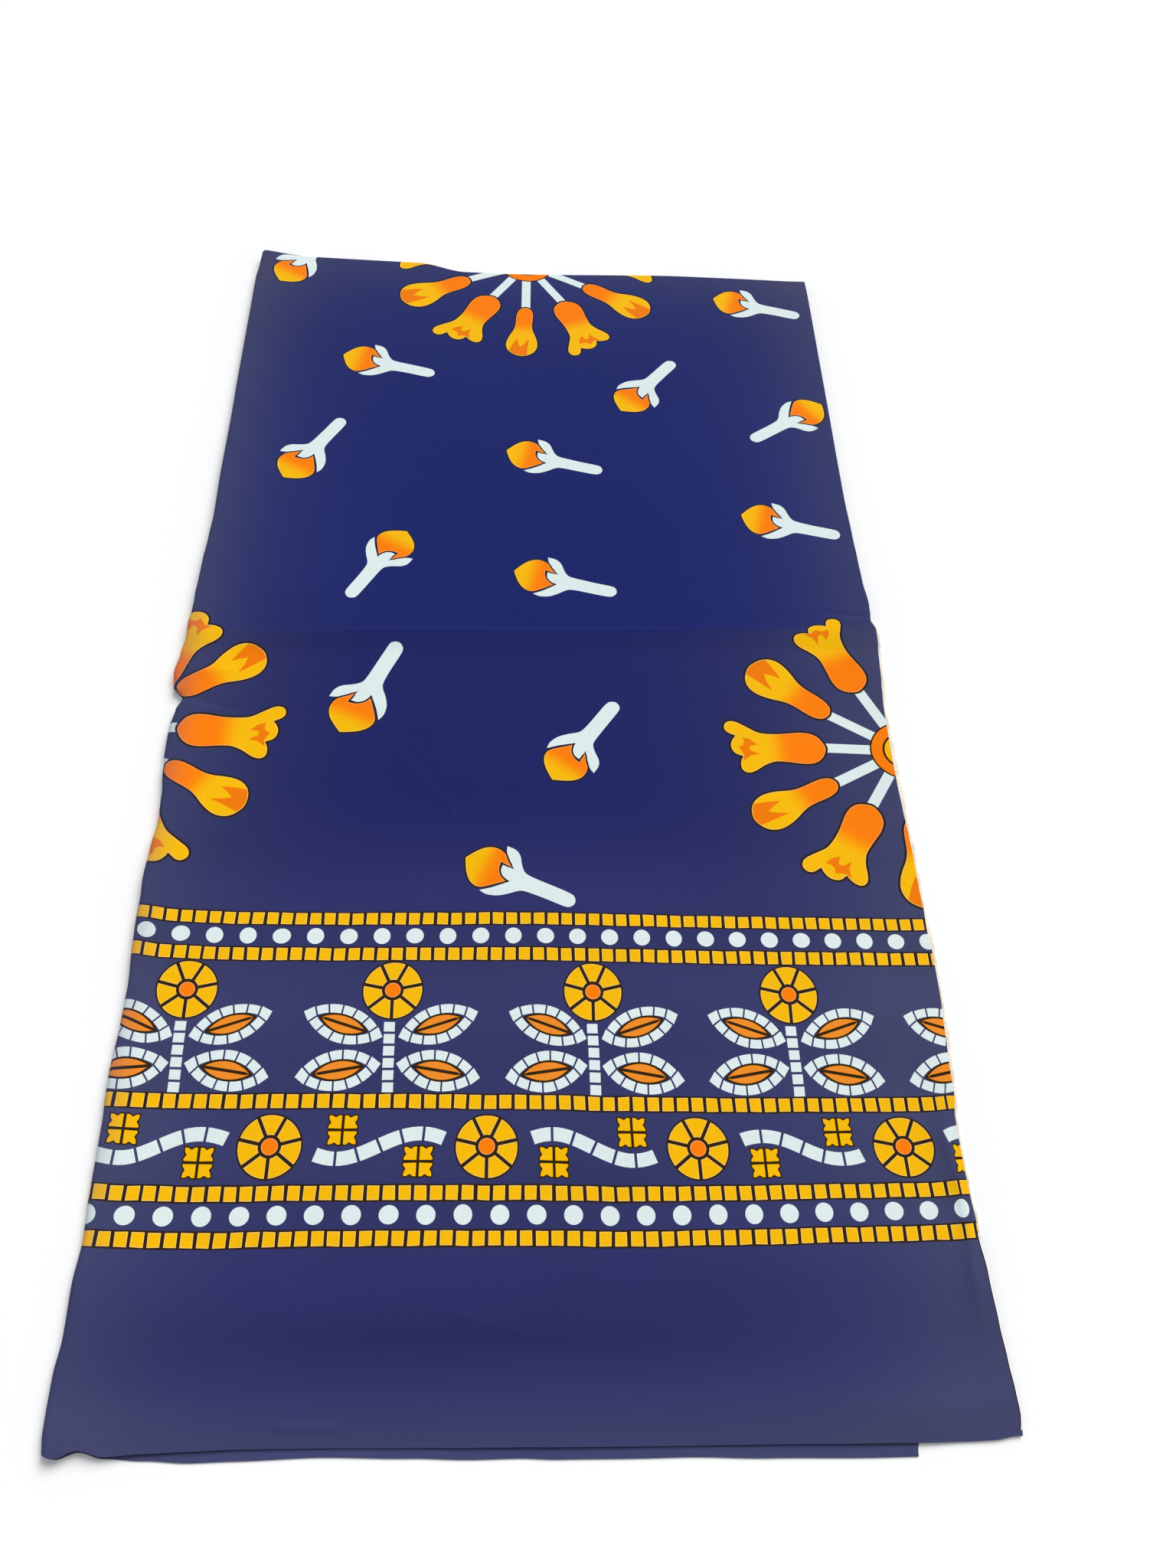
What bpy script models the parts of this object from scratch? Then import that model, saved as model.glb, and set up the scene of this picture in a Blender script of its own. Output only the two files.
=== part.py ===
"""Kanga wrap cloth: one printed cotton cloth, folded in half along its length, its far end turned under, lying flat.

The face leaf is what shows. Its left and far edges are folds, so the leaf rolls round there and down to the leaf
below. The lower leaf sticks out at the near edge and, as a pale woven selvedge, along the right edge. The end that
is turned under lies below both and lifts them beyond a soft crease that crosses the cloth.

Lengths are in metres. Inside the functions x runs across from the fold at the left and y along from the near edge,
on a floor at z = 0; an empty then carries every piece to the middle of the box that they fill.
"""

import math

import bpy
import numpy as np
from mathutils import Vector

# The cut of the cloth, and how it is folded
CUT_WIDTH = 1.10
CUT_LENGTH = 1.50
LAID_WIDTH = CUT_WIDTH / 2
LAID_LENGTH = 1.04

# The walls and the room between them
WALL = 0.0012
SELVEDGE_WALL = 0.00096
GAP = 0.0003
UNDER_THICKNESS = 2 * WALL + GAP
PAIR_THICKNESS = 2 * WALL + GAP

# The rolls along the left and far folds
ROLL_REACH = 0.0035
ROLL_STEPS = 6
CORNER_STEPS = 4
FAR_FOLD_PUFF = 0.0016

# The crease where the turned-under end stops, and the slope of the leaves down from it
CREASE_AT_LEFT = 0.569
CREASE_SKEW = 0.037
CREASE_SLOPE = 0.022
CREASE_TURN_REACH = 0.120
LEFT_ROLL_LANDS = (0.036, 0.012)

# The lower leaf's near right corner is turned in along a straight line from here to the right edge. Its tip is
# drawn in a little, and the face leaf sinks by a wall past the line.
DOG_EAR_ACROSS = 0.4875
DOG_EAR_ALONG = 0.100
DOG_EAR_TIP_INSET = 0.002
DOG_EAR_TIP_SPAN = (-0.008, 0.004)
DOG_EAR_SINKS_PAST = (0.002, 0.022)

# Along the rest of the right edge the lower leaf stops this far inside the face leaf, and the selvedge carries on
LOWER_LEAF_INSET = 0.001
SELVEDGE_SPAN = (0.111, 0.600)
SELVEDGE_LEAST = 0.0008

# The turned-under end: how far each side stops inside the face leaf's, and the room kept where the corner roll lands
UNDER_LEFT_INSET = 0.001
UNDER_RIGHT_INSET = 0.003
UNDER_NEAR_CORNERS = (0.004, LAID_WIDTH - 0.006)
UNDER_NEAR_POINTS = 12
UNDER_SIDE_SPAN = (0.030, 0.045)
UNDER_SIDE_STEP = 0.060
UNDER_LANDING = 0.008

FACE_COLUMNS = 20
COLUMN_CROWDING = 0.11
LOWER_COLUMNS = 12
LAST_LOWER_ROW = 0.002
FACE_ROW_STEP = 0.040
LEAST_ROW_STEP = 0.005
CREASE_ROWS = (1.2, 0.8, 0.5, 0.2, -0.2)

# How far each long edge wanders outwards, how high the face puffs up beside it, and how far the selvedge shows
EDGE_COLUMNS = ("along", "left_out", "right_out", "left_puff", "right_puff", "selvedge")
EDGES = np.array(
    [
        (0.000, -0.0010, 0.0028, 0.0024, 0.0006, 0.0000),
        (0.012, 0.0000, 0.0034, 0.0024, 0.0008, 0.0000),
        (0.060, -0.0010, 0.0012, 0.0024, 0.0012, 0.0000),
        (0.112, -0.0030, -0.0022, 0.0026, 0.0026, 0.0012),
        (0.140, -0.0004, -0.0035, 0.0030, 0.0032, 0.0018),
        (0.180, -0.0018, -0.0040, 0.0036, 0.0032, 0.0024),
        (0.215, -0.0004, -0.0016, 0.0042, 0.0022, 0.0026),
        (0.250, -0.0024, -0.0002, 0.0046, 0.0010, 0.0026),
        (0.300, 0.0000, -0.0010, 0.0050, 0.0004, 0.0026),
        (0.360, 0.0020, 0.0000, 0.0048, 0.0006, 0.0026),
        (0.396, -0.0026, -0.0008, 0.0042, 0.0008, 0.0024),
        (0.456, 0.0026, -0.0020, 0.0040, 0.0012, 0.0026),
        (0.494, 0.0000, -0.0024, 0.0034, 0.0014, 0.0030),
        (0.504, -0.0028, -0.0022, 0.0026, 0.0016, 0.0026),
        (0.514, 0.0038, -0.0020, 0.0038, 0.0018, 0.0020),
        (0.530, 0.0070, -0.0008, 0.0050, 0.0020, 0.0024),
        (0.562, 0.0022, 0.0012, 0.0044, 0.0022, 0.0028),
        (0.592, 0.0030, 0.0028, 0.0040, 0.0022, 0.0038),
        (0.604, 0.0020, -0.0016, 0.0040, 0.0014, 0.0000),
        (0.620, 0.0014, 0.0002, 0.0040, 0.0012, 0.0000),
        (0.690, 0.0010, 0.0002, 0.0036, 0.0010, 0.0000),
        (0.800, 0.0006, -0.0032, 0.0032, 0.0010, 0.0000),
        (0.920, -0.0002, -0.0042, 0.0030, 0.0010, 0.0000),
        (1.040, 0.0000, -0.0060, 0.0028, 0.0010, 0.0000),
    ],
    dtype=[(name, float) for name in EDGE_COLUMNS],
)

# How far the near edge of each leaf sticks out, across the cloth
NEAR_EDGE_COLUMNS = ("across", "face_out", "lower_out")
NEAR_EDGE = np.array(
    [
        (0.000, -0.0030, -0.0020),
        (0.008, 0.0012, 0.0012),
        (0.020, -0.0018, -0.0010),
        (0.034, 0.0006, 0.0012),
        (0.068, -0.0010, 0.0034),
        (0.110, -0.0018, 0.0034),
        (0.180, -0.0012, 0.0030),
        (0.240, -0.0002, 0.0044),
        (0.300, 0.0006, 0.0060),
        (0.400, 0.0012, 0.0074),
        (0.490, 0.0018, 0.0078),
        (0.535, 0.0010, 0.0078),
        (0.550, -0.0008, 0.0078),
    ],
    dtype=[(name, float) for name in NEAR_EDGE_COLUMNS],
)
NEAR_EDGE_FADES = 0.080

LEFT_PUFF_REACH = 0.026
RIGHT_PUFF_REACH = 0.018
FAR_PUFF_REACH = 0.020
FACE_WAVES = (
    # height, crests across, crests along, phase
    (0.00035, 2.5, 3.0, 0.4),
    (0.00025, -1.5, 5.5, 2.1),
)

COTTON_NAVY = (0.022, 0.024, 0.145)
COTTON_SHADE = (0.018, 0.019, 0.115)
COTTON_UNPRINTED = (0.80, 0.73, 0.62)


def eased(t):
    """0 below 0, 1 above 1, and a smooth S between them."""
    t = np.clip(t, 0, 1)
    return t * t * (3 - 2 * t)


def read_table(table, key, name, at):
    """One column of a table at these places, easing from each row to the next."""
    knots = table[key]
    row = np.clip(np.searchsorted(knots, at, side="right") - 1, 0, len(knots) - 2)
    share = eased((at - knots[row]) / (knots[row + 1] - knots[row]))
    return table[name][row] * (1 - share) + table[name][row + 1] * share


def left_edge(y):
    return -read_table(EDGES, "along", "left_out", y)


def roll_inside(y):
    """Where the left roll meets the face leaf's flat part, and where its foot ends below that."""
    return left_edge(y) + ROLL_REACH


def lower_left_edge(y):
    return roll_inside(y) + 2 * GAP


def right_edge(y):
    return LAID_WIDTH + read_table(EDGES, "along", "right_out", y)


def crease_line(x):
    return CREASE_AT_LEFT + CREASE_SKEW * x


def ground(x, y):
    """The height of what the folded pair lies on: the floor, then a slope up on to the turned-under end."""
    return (UNDER_THICKNESS + GAP) * eased((y - crease_line(x) + CREASE_SLOPE + GAP) / CREASE_SLOPE)


def past_dog_ear(x, y):
    """How far a point lies outside the line that the lower leaf's corner is turned in along."""
    run = right_edge(DOG_EAR_ALONG) - DOG_EAR_ACROSS
    slant = math.hypot(run, DOG_EAR_ALONG)
    return ((x - DOG_EAR_ACROSS) * DOG_EAR_ALONG - y * run) / slant


def face_height(x, y):
    """The height of the face leaf's upper side over the floor.

    It is the pair of leaves on the ground below them, less the lower leaf where its corner is turned in, plus the
    puff that dies away from each fold, plus two slow waves.
    """
    height = ground(x, y) + PAIR_THICKNESS
    start, stop = DOG_EAR_SINKS_PAST
    height = height - (WALL + GAP / 2) * eased((past_dog_ear(x, y) - start) / (stop - start))
    left = read_table(EDGES, "along", "left_puff", y)
    height = height + left * np.exp(-((np.maximum(x, 0) / LEFT_PUFF_REACH) ** 1.5))
    right = read_table(EDGES, "along", "right_puff", y)
    height = height + right * np.exp(-((np.maximum(LAID_WIDTH - x, 0) / RIGHT_PUFF_REACH) ** 2))
    height = height + FAR_FOLD_PUFF * np.exp(-(((LAID_LENGTH - y) / FAR_PUFF_REACH) ** 2))
    for size, across, along, phase in FACE_WAVES:
        turn = 2 * math.pi * (across * x / LAID_WIDTH + along * y / LAID_LENGTH) + phase
        height = height + size * (1 + np.sin(turn))
    return height


def roll_foot(x, y):
    """How low the left and far rolls reach: on to what the pair lies on, and to the floor towards the far fold."""
    start, stop = LEFT_ROLL_LANDS
    return ground(x, y) * (1 - eased((y - LAID_LENGTH + start) / (start - stop)))


def face_rows():
    """The places along the cloth where a row of points lies: even steps, and each row of the table."""
    even = np.arange(0, LAID_LENGTH - ROLL_REACH, FACE_ROW_STEP)
    crease = crease_line(LAID_WIDTH / 2) - CREASE_SLOPE * np.array(CREASE_ROWS)
    rows = np.concatenate([EDGES["along"][:-1], crease, even, [LAID_LENGTH - ROLL_REACH]])
    rows.sort()
    close = np.diff(rows, prepend=-1) < LEAST_ROW_STEP
    close[-1] = False
    return rows[~close]


def face_columns():
    """Shares of the way across, closer together at both edges."""
    t = np.linspace(0, 1, FACE_COLUMNS)
    return t - COLUMN_CROWDING * np.sin(2 * math.pi * t)


def mesh_object(name, points, faces, colour):
    """A smooth-shaded object with one cotton material."""
    mesh = bpy.data.meshes.new(name)
    mesh.from_pydata([tuple(p) for p in points], [], [tuple(f) for f in faces])
    mesh.update()
    mesh.shade_smooth()
    material = bpy.data.materials.new(name + "_cotton")
    material.use_nodes = True
    shader = material.node_tree.nodes["Principled BSDF"]
    shader.inputs["Base Color"].default_value = (*colour, 1)
    shader.inputs["Roughness"].default_value = 0.9
    mesh.materials.append(material)
    part = bpy.data.objects.new(name, mesh)
    bpy.context.scene.collection.objects.link(part)
    return part


def thicken(part, thickness, offset):
    """Gives a sheet its wall. offset -1 puts it behind the sheet's faces and 1 before them."""
    wall = part.modifiers.new("wall", "SOLIDIFY")
    wall.thickness = thickness
    wall.offset = offset
    wall.use_even_offset = False


def grid_faces(rows, columns, start=0):
    """Quads between the points of a grid, which are numbered along each row, facing up where x and y grow."""
    corner = start + (np.arange(rows - 1)[:, None] * columns + np.arange(columns - 1)[None, :]).ravel()
    return np.stack([corner, corner + 1, corner + columns + 1, corner + columns], axis=1)


def leaf_plan(rows, shares, left, right, out):
    """x and y of a leaf's points: each row runs from left(y) to right(y), turned to lie along the crease near it.

    The near edge's wander, the column of NEAR_EDGE named by out, fades out along the cloth.
    """
    y = np.repeat(rows[:, None], len(shares), axis=1)
    x = left(y) + (right(y) - left(y)) * shares[None, :]
    fade = 1 - eased(y / NEAR_EDGE_FADES)
    nearness = np.exp(-(((y - crease_line(LAID_WIDTH / 2)) / CREASE_TURN_REACH) ** 2))
    turn = CREASE_SKEW * (x - LAID_WIDTH / 2) * nearness
    return x, y + turn - read_table(NEAR_EDGE, "across", out, x) * fade


def make_top_leaf():
    """The face leaf: a grid over its flat part, and half a turn of cloth carried round the left and far folds.

    At each place along the folds the turn starts from the grid's border and swings out by ROLL_REACH times the
    cosine of its angle, while its height goes from the face's down to the foot's with the sine. The corner is a
    fan of such turns about the grid's corner point.
    """
    rows, columns = face_rows(), face_columns()
    x, y = leaf_plan(rows, columns, roll_inside, right_edge, "face_out")
    flat = np.stack([x, y, face_height(x, y)], axis=-1)
    count = len(columns)
    border = [j * count for j in range(len(rows))]
    out = [(-1.0, 0.0)] * len(rows)
    for step in range(1, CORNER_STEPS):
        angle = math.pi - step / CORNER_STEPS * math.pi / 2
        border.append(border[len(rows) - 1])
        out.append((math.cos(angle), math.sin(angle)))
    last_row = (len(rows) - 1) * count
    border += [last_row + i for i in range(count)]
    out += [(0.0, 1.0)] * count

    points = flat.reshape(-1, 3)
    start = points[border]
    angle = np.linspace(math.pi / 2, -math.pi / 2, ROLL_STEPS + 1)[1:]
    foot = roll_foot(start[:, 0], start[:, 1])
    foot[len(rows) - 1 :] = 0
    middle, half = (start[:, 2] + foot) / 2, (start[:, 2] - foot) / 2
    out = np.array(out)
    turned = np.empty((len(border), len(angle), 3))
    turned[..., :2] = start[:, None, :2] + out[:, None, :] * (ROLL_REACH * np.cos(angle))[None, :, None]
    turned[..., 2] = middle[:, None] + half[:, None] * np.sin(angle)[None, :]

    number = np.empty((len(border), ROLL_STEPS + 1), int)
    number[:, 0] = border
    number[:, 1:] = len(points) + np.arange(turned.shape[0] * ROLL_STEPS).reshape(-1, ROLL_STEPS)
    foot_point = number[len(rows) - 1, -1]
    number[len(rows) - 1 : len(rows) + CORNER_STEPS, -1] = foot_point
    faces = [tuple(f) for f in grid_faces(len(rows), count)]
    for a, b in zip(number[:-1], number[1:]):
        for k in range(ROLL_STEPS):
            ring = [a[k], b[k], b[k + 1], a[k + 1]]
            ring = [p for i, p in enumerate(ring) if p != ring[i - 1]]
            if len(ring) > 2:
                faces.append(tuple(ring))
    every = np.concatenate([points, turned.reshape(-1, 3)])
    used = np.unique(np.concatenate([np.array(f) for f in faces]))
    renumber = np.full(len(every), -1)
    renumber[used] = np.arange(len(used))
    part = mesh_object("top_leaf", every[used], [renumber[list(f)] for f in faces], COTTON_NAVY)
    thicken(part, WALL, -1)
    return part


def lower_right_edge(y):
    """The lower leaf's right side: along the turned-in corner, then just inside the face leaf's edge."""
    ear = DOG_EAR_ACROSS + (right_edge(DOG_EAR_ALONG) - DOG_EAR_ACROSS) * np.maximum(y, 0) / DOG_EAR_ALONG
    start, stop = DOG_EAR_TIP_SPAN
    ear = ear - DOG_EAR_TIP_INSET * eased((stop - y) / (stop - start))
    return np.minimum(ear, right_edge(y) - LOWER_LEAF_INSET)


def make_lower_leaf():
    """The lower leaf: flat on the floor, then up the slope and over the turned-under end, inside the far roll."""
    rows = face_rows()[:-1]
    rows = np.append(rows, LAID_LENGTH - ROLL_REACH - LAST_LOWER_ROW)
    shares = np.linspace(0, 1, LOWER_COLUMNS)
    x, y = leaf_plan(rows, shares, lower_left_edge, lower_right_edge, "lower_out")
    points = np.stack([x, y, ground(x, y)], axis=-1).reshape(-1, 3)
    part = mesh_object("lower_leaf", points, grid_faces(len(rows), LOWER_COLUMNS), COTTON_SHADE)
    thicken(part, WALL, 1)
    return part


def selvedge_inner(y):
    return lower_right_edge(y) + GAP


def selvedge_outer(y):
    return right_edge(y) + np.maximum(read_table(EDGES, "along", "selvedge", y), SELVEDGE_LEAST)


def make_selvedge():
    """The lower leaf's unprinted woven margin, as far as it shows past the face leaf's right edge."""
    rows = face_rows()
    rows = rows[(rows >= SELVEDGE_SPAN[0]) & (rows <= SELVEDGE_SPAN[1])]
    x, y = leaf_plan(rows, np.array([0.0, 1.0]), selvedge_inner, selvedge_outer, "lower_out")
    points = np.stack([x, y, ground(x, y)], axis=-1).reshape(-1, 3)
    part = mesh_object("selvedge", points, grid_faces(len(rows), 2), COTTON_UNPRINTED)
    thicken(part, SELVEDGE_WALL, 1)
    return part


def under_outline():
    """The turned-under end's outline, anticlockwise from its near left corner.

    Its near edge follows the crease and its long edges lie just inside the face leaf's. Towards the far fold its left
    edge steps in, to clear the roll that lands there.
    """
    far = LAID_LENGTH - ROLL_REACH - GAP
    side = np.arange(crease_line(0) + UNDER_SIDE_SPAN[0], far - UNDER_SIDE_SPAN[1], UNDER_SIDE_STEP)
    near = [(x, crease_line(x)) for x in np.linspace(*UNDER_NEAR_CORNERS, UNDER_NEAR_POINTS)]
    right = [(right_edge(y) - UNDER_RIGHT_INSET, y) for y in [*side[1:], far]]
    lands = LAID_LENGTH - LEFT_ROLL_LANDS[0]
    landing = [(roll_inside(y) + 3 * GAP, y) for y in (far, lands)]
    left = [(left_edge(y) + UNDER_LEFT_INSET, y) for y in [lands - UNDER_LANDING, *side[::-1]]]
    return np.array(near + right + landing + left)


def make_turned_under_end():
    """The hidden layers of the end that is turned under, as one solid with two rounded layers at its edges.

    Loops of the outline are stacked from the floor up, each drawn in from it by a small inset: the insets round
    off both layers and leave a groove between them.
    """
    outline = under_outline()
    before, after = np.roll(outline, 1, axis=0), np.roll(outline, -1, axis=0)
    along = (after - before) / np.linalg.norm(after - before, axis=1)[:, None]
    inward = np.stack([-along[:, 1], along[:, 0]], axis=1)
    layer = UNDER_THICKNESS / 2
    levels = [
        # height, inset
        (0.0, 0.0007),
        (0.25 * layer, 0.0001),
        (0.75 * layer, 0.0001),
        (0.98 * layer, 0.0008),
        (1.25 * layer, 0.0001),
        (1.75 * layer, 0.0001),
        (2.0 * layer, 0.0007),
    ]
    loops = [np.column_stack([outline + inward * inset, np.full(len(outline), z)]) for z, inset in levels]
    count = len(outline)
    faces = [tuple(range(count - 1, -1, -1))]
    for level in range(len(levels) - 1):
        for i in range(count):
            j = (i + 1) % count
            faces.append((level * count + i, level * count + j, (level + 1) * count + j, (level + 1) * count + i))
    faces.append(tuple(range((len(levels) - 1) * count, len(levels) * count)))
    return mesh_object("turned_under_end", np.concatenate(loops), faces, COTTON_SHADE)


def stand_on_origin(parts):
    """Parents the parts to an empty that brings the middle of their common box over the origin."""
    bpy.context.view_layer.update()
    graph = bpy.context.evaluated_depsgraph_get()
    corners = [Vector(c) for part in parts for c in part.evaluated_get(graph).bound_box]
    middle = [(min(c[k] for c in corners) + max(c[k] for c in corners)) / 2 for k in (0, 1)]
    cloth = bpy.data.objects.new("cloth", None)
    cloth.location = (-middle[0], -middle[1], 0)
    bpy.context.scene.collection.objects.link(cloth)
    for part in parts:
        part.parent = cloth


def main():
    for thing in list(bpy.data.objects):
        bpy.data.objects.remove(thing, do_unlink=True)
    stand_on_origin([make_top_leaf(), make_lower_leaf(), make_selvedge(), make_turned_under_end()])


main()
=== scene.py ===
"""Kanga wrap cloth: a printed cotton cloth, folded in half along its length and laid flat, with its stage.

The print is drawn as flat outlines in millimetres, x across from the lengthwise fold and y along from the
near edge. Each leaf's outline and its share of the print are triangulated together, so that every colour
ends on an edge of the mesh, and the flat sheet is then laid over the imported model: out to the folds, round
them and down.
"""

import math

import bpy
import numpy as np
from bpy.props import FloatProperty, IntProperty, PointerProperty, StringProperty
from mathutils import Matrix, Vector
from mathutils.geometry import delaunay_2d_cdt


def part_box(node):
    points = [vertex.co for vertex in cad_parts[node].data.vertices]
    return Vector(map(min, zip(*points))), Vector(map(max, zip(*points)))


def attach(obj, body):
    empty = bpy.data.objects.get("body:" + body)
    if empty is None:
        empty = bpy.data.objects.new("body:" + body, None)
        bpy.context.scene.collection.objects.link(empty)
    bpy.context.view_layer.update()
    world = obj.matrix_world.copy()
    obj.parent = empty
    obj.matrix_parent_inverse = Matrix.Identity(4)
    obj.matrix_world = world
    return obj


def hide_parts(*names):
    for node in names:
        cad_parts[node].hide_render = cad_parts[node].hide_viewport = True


bl_info = {
    "name": "Kanga Wrap Cloth",
    "version": (1, 0, 0),
    "blender": (4, 5, 0),
    "location": "View3D > Sidebar > Kanga",
    "description": "Builds a folded, printed cotton kanga wrap cloth and its stage",
    "category": "Add Mesh",
}

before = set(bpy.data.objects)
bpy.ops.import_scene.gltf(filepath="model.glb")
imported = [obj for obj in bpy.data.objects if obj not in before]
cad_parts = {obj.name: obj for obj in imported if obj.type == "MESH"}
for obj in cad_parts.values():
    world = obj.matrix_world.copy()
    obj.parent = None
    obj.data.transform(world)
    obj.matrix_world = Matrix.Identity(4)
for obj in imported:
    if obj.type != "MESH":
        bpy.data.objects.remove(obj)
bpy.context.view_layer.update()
FACE_LOW, FACE_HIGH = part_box("top_leaf")

MM = 0.001

# How the cloth is laid, in metres: x across from the fold at the left, y along from the near edge, z over
# the floor. Then how far the model's left side lies outside the fold's line, and the cotton's wall.
LAID_WIDTH = 0.55
LAID_LENGTH = 1.04
WIDEST_AT_LEFT = 0.0070
WALL = 0.0006

# How high the turned-under end lifts the leaves, how high the face lies over them, and how far it sinks
# where nothing backs it
UNDER_RISE = 0.0027
FACE_RISE = 0.0027
UNBACKED_SINKS = 0.00135

# The arc of cloth that goes round a fold, how short of its end the mesh stops, how far out it reaches, and
# where the left one comes down to the floor, before the far fold
FOLD_ARC = 0.011
ARC_STOPS = 0.0001
ROLL_REACH = 0.0035
LEFT_ROLL_LANDS = (0.036, 0.012)

# The far fold: its puff, which turns to a dip away from the corner, its sag, and its dent, which goes in
# and comes out between these places across
FAR_FOLD_PUFF = 0.0016
FAR_PUFF_LOSES = 1.4
FAR_PUFF_CORNER = 0.05
FAR_PUFF_REACH = 0.020
FAR_FOLD_SAG = 0.0016
FAR_SAG_STARTS = 0.004
FAR_SAG_REACH = 0.045
FAR_DENT = 0.0115
FAR_DENT_SPAN = (0.154, 0.202, 0.230, 0.420)

# The line where the turned-under end stops, and the slope of the leaves down from it
CREASE_AT_LEFT = 0.569
CREASE_SKEW = 0.037
CREASE_SLOPE = 0.022
CREASE_GAP = 0.0003

# The lower leaf's near right corner is turned in along a line from here to the right edge, with its tip
# drawn in a little, and the face sinks past the line
DOG_EAR_ACROSS = 0.492
DOG_EAR_ALONG = 0.100
DOG_EAR_TIP_INSET = 0.002
DOG_EAR_TIP_SPAN = (-0.008, 0.004)
DOG_EAR_SINKS_PAST = (0.002, 0.022)

# How far inside the face the lower leaf stops, at the right, at the left and at the far fold, and the
# turned-under end, at the left, at the right and at the far fold
LOWER_LEAF_INSET = 0.001
LOWER_STARTS = 0.0012
LOWER_STOPS = 0.0020
UNDER_LEFT_INSET = 0.0045
UNDER_RIGHT_INSET = 0.0045
UNDER_STOPS = 0.0008

# The turned-under end: the radius of its own fold and its arc, how far and where that swings in before the
# far corner, a ripple's height and its lengths across and along, how far past the crease line the near edge
# starts and how it wanders, and the slack left at the sides
UNDER_ROLL = 0.0013
UNDER_ROLL_ARC = math.pi * UNDER_ROLL
UNDER_SWING = 0.0028
UNDER_SWING_SPAN = (0.98, 1.00)
UNDER_RIPPLE = (0.00012, 0.019, 0.027)
UNDER_NEAR_GAP = 0.0005
UNDER_NEAR_WANDER = (0.0004, 0.021)
UNDER_SIDE_SLACK = 0.004

# The selvedge: where along it shows, its stated width, and its least one. Then its gap to the lower leaf,
# how thick it is, how high it lies, how much it frays, the swing and the length of its scallops, how far and
# over what length its edge lifts, and how many points lie across it.
SELVEDGE_SPAN = (0.111, 0.600)
SELVEDGE_LEAST = 0.0008
SELVEDGE_GAP = 0.0003
SELVEDGE_WALL = 0.0005
SELVEDGE_TOP = 0.0009
SELVEDGE_FRAY = 0.00022
SELVEDGE_SCALLOPS = ((0.00028, 0.0016), (0.0003, 0.0061))
SELVEDGE_LIFT = (0.0007, 0.0047)
SELVEDGE_POINTS = 7

# Nearer than where it shows, it is turned under but for its last millimetre: a dark band of painted shadow
# along the edge, and an unprinted one outside it, each as its depth and colour
BARE_EDGE_SPAN = (0.003, 0.116)
BARE_EDGE_BANDS = ((0.0016, "cut_edge_and_edge_shadow"), (0.0008, "selvedge"))

# How far in the face puffs up beside its long edges, its slow waves (height, waves across and along,
# phase), and how far its near edge sinks to the leaf below: less by a share where nothing backs it, and not
# at the left
LEFT_PUFF_REACH = 0.026
RIGHT_PUFF_REACH = 0.018
FACE_WAVES = ((0.00035, 2.5, 3.0, 0.4), (0.00025, -1.5, 5.5, 2.1))
NEAR_EDGE_SINKS = 0.0013
NEAR_EDGE_SINK_REACH = 0.020
NEAR_EDGE_SINK_LOSES = 0.6
NEAR_EDGE_SINK_STARTS = 0.02
NEAR_EDGE_SINK_GROWS = 0.03

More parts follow.
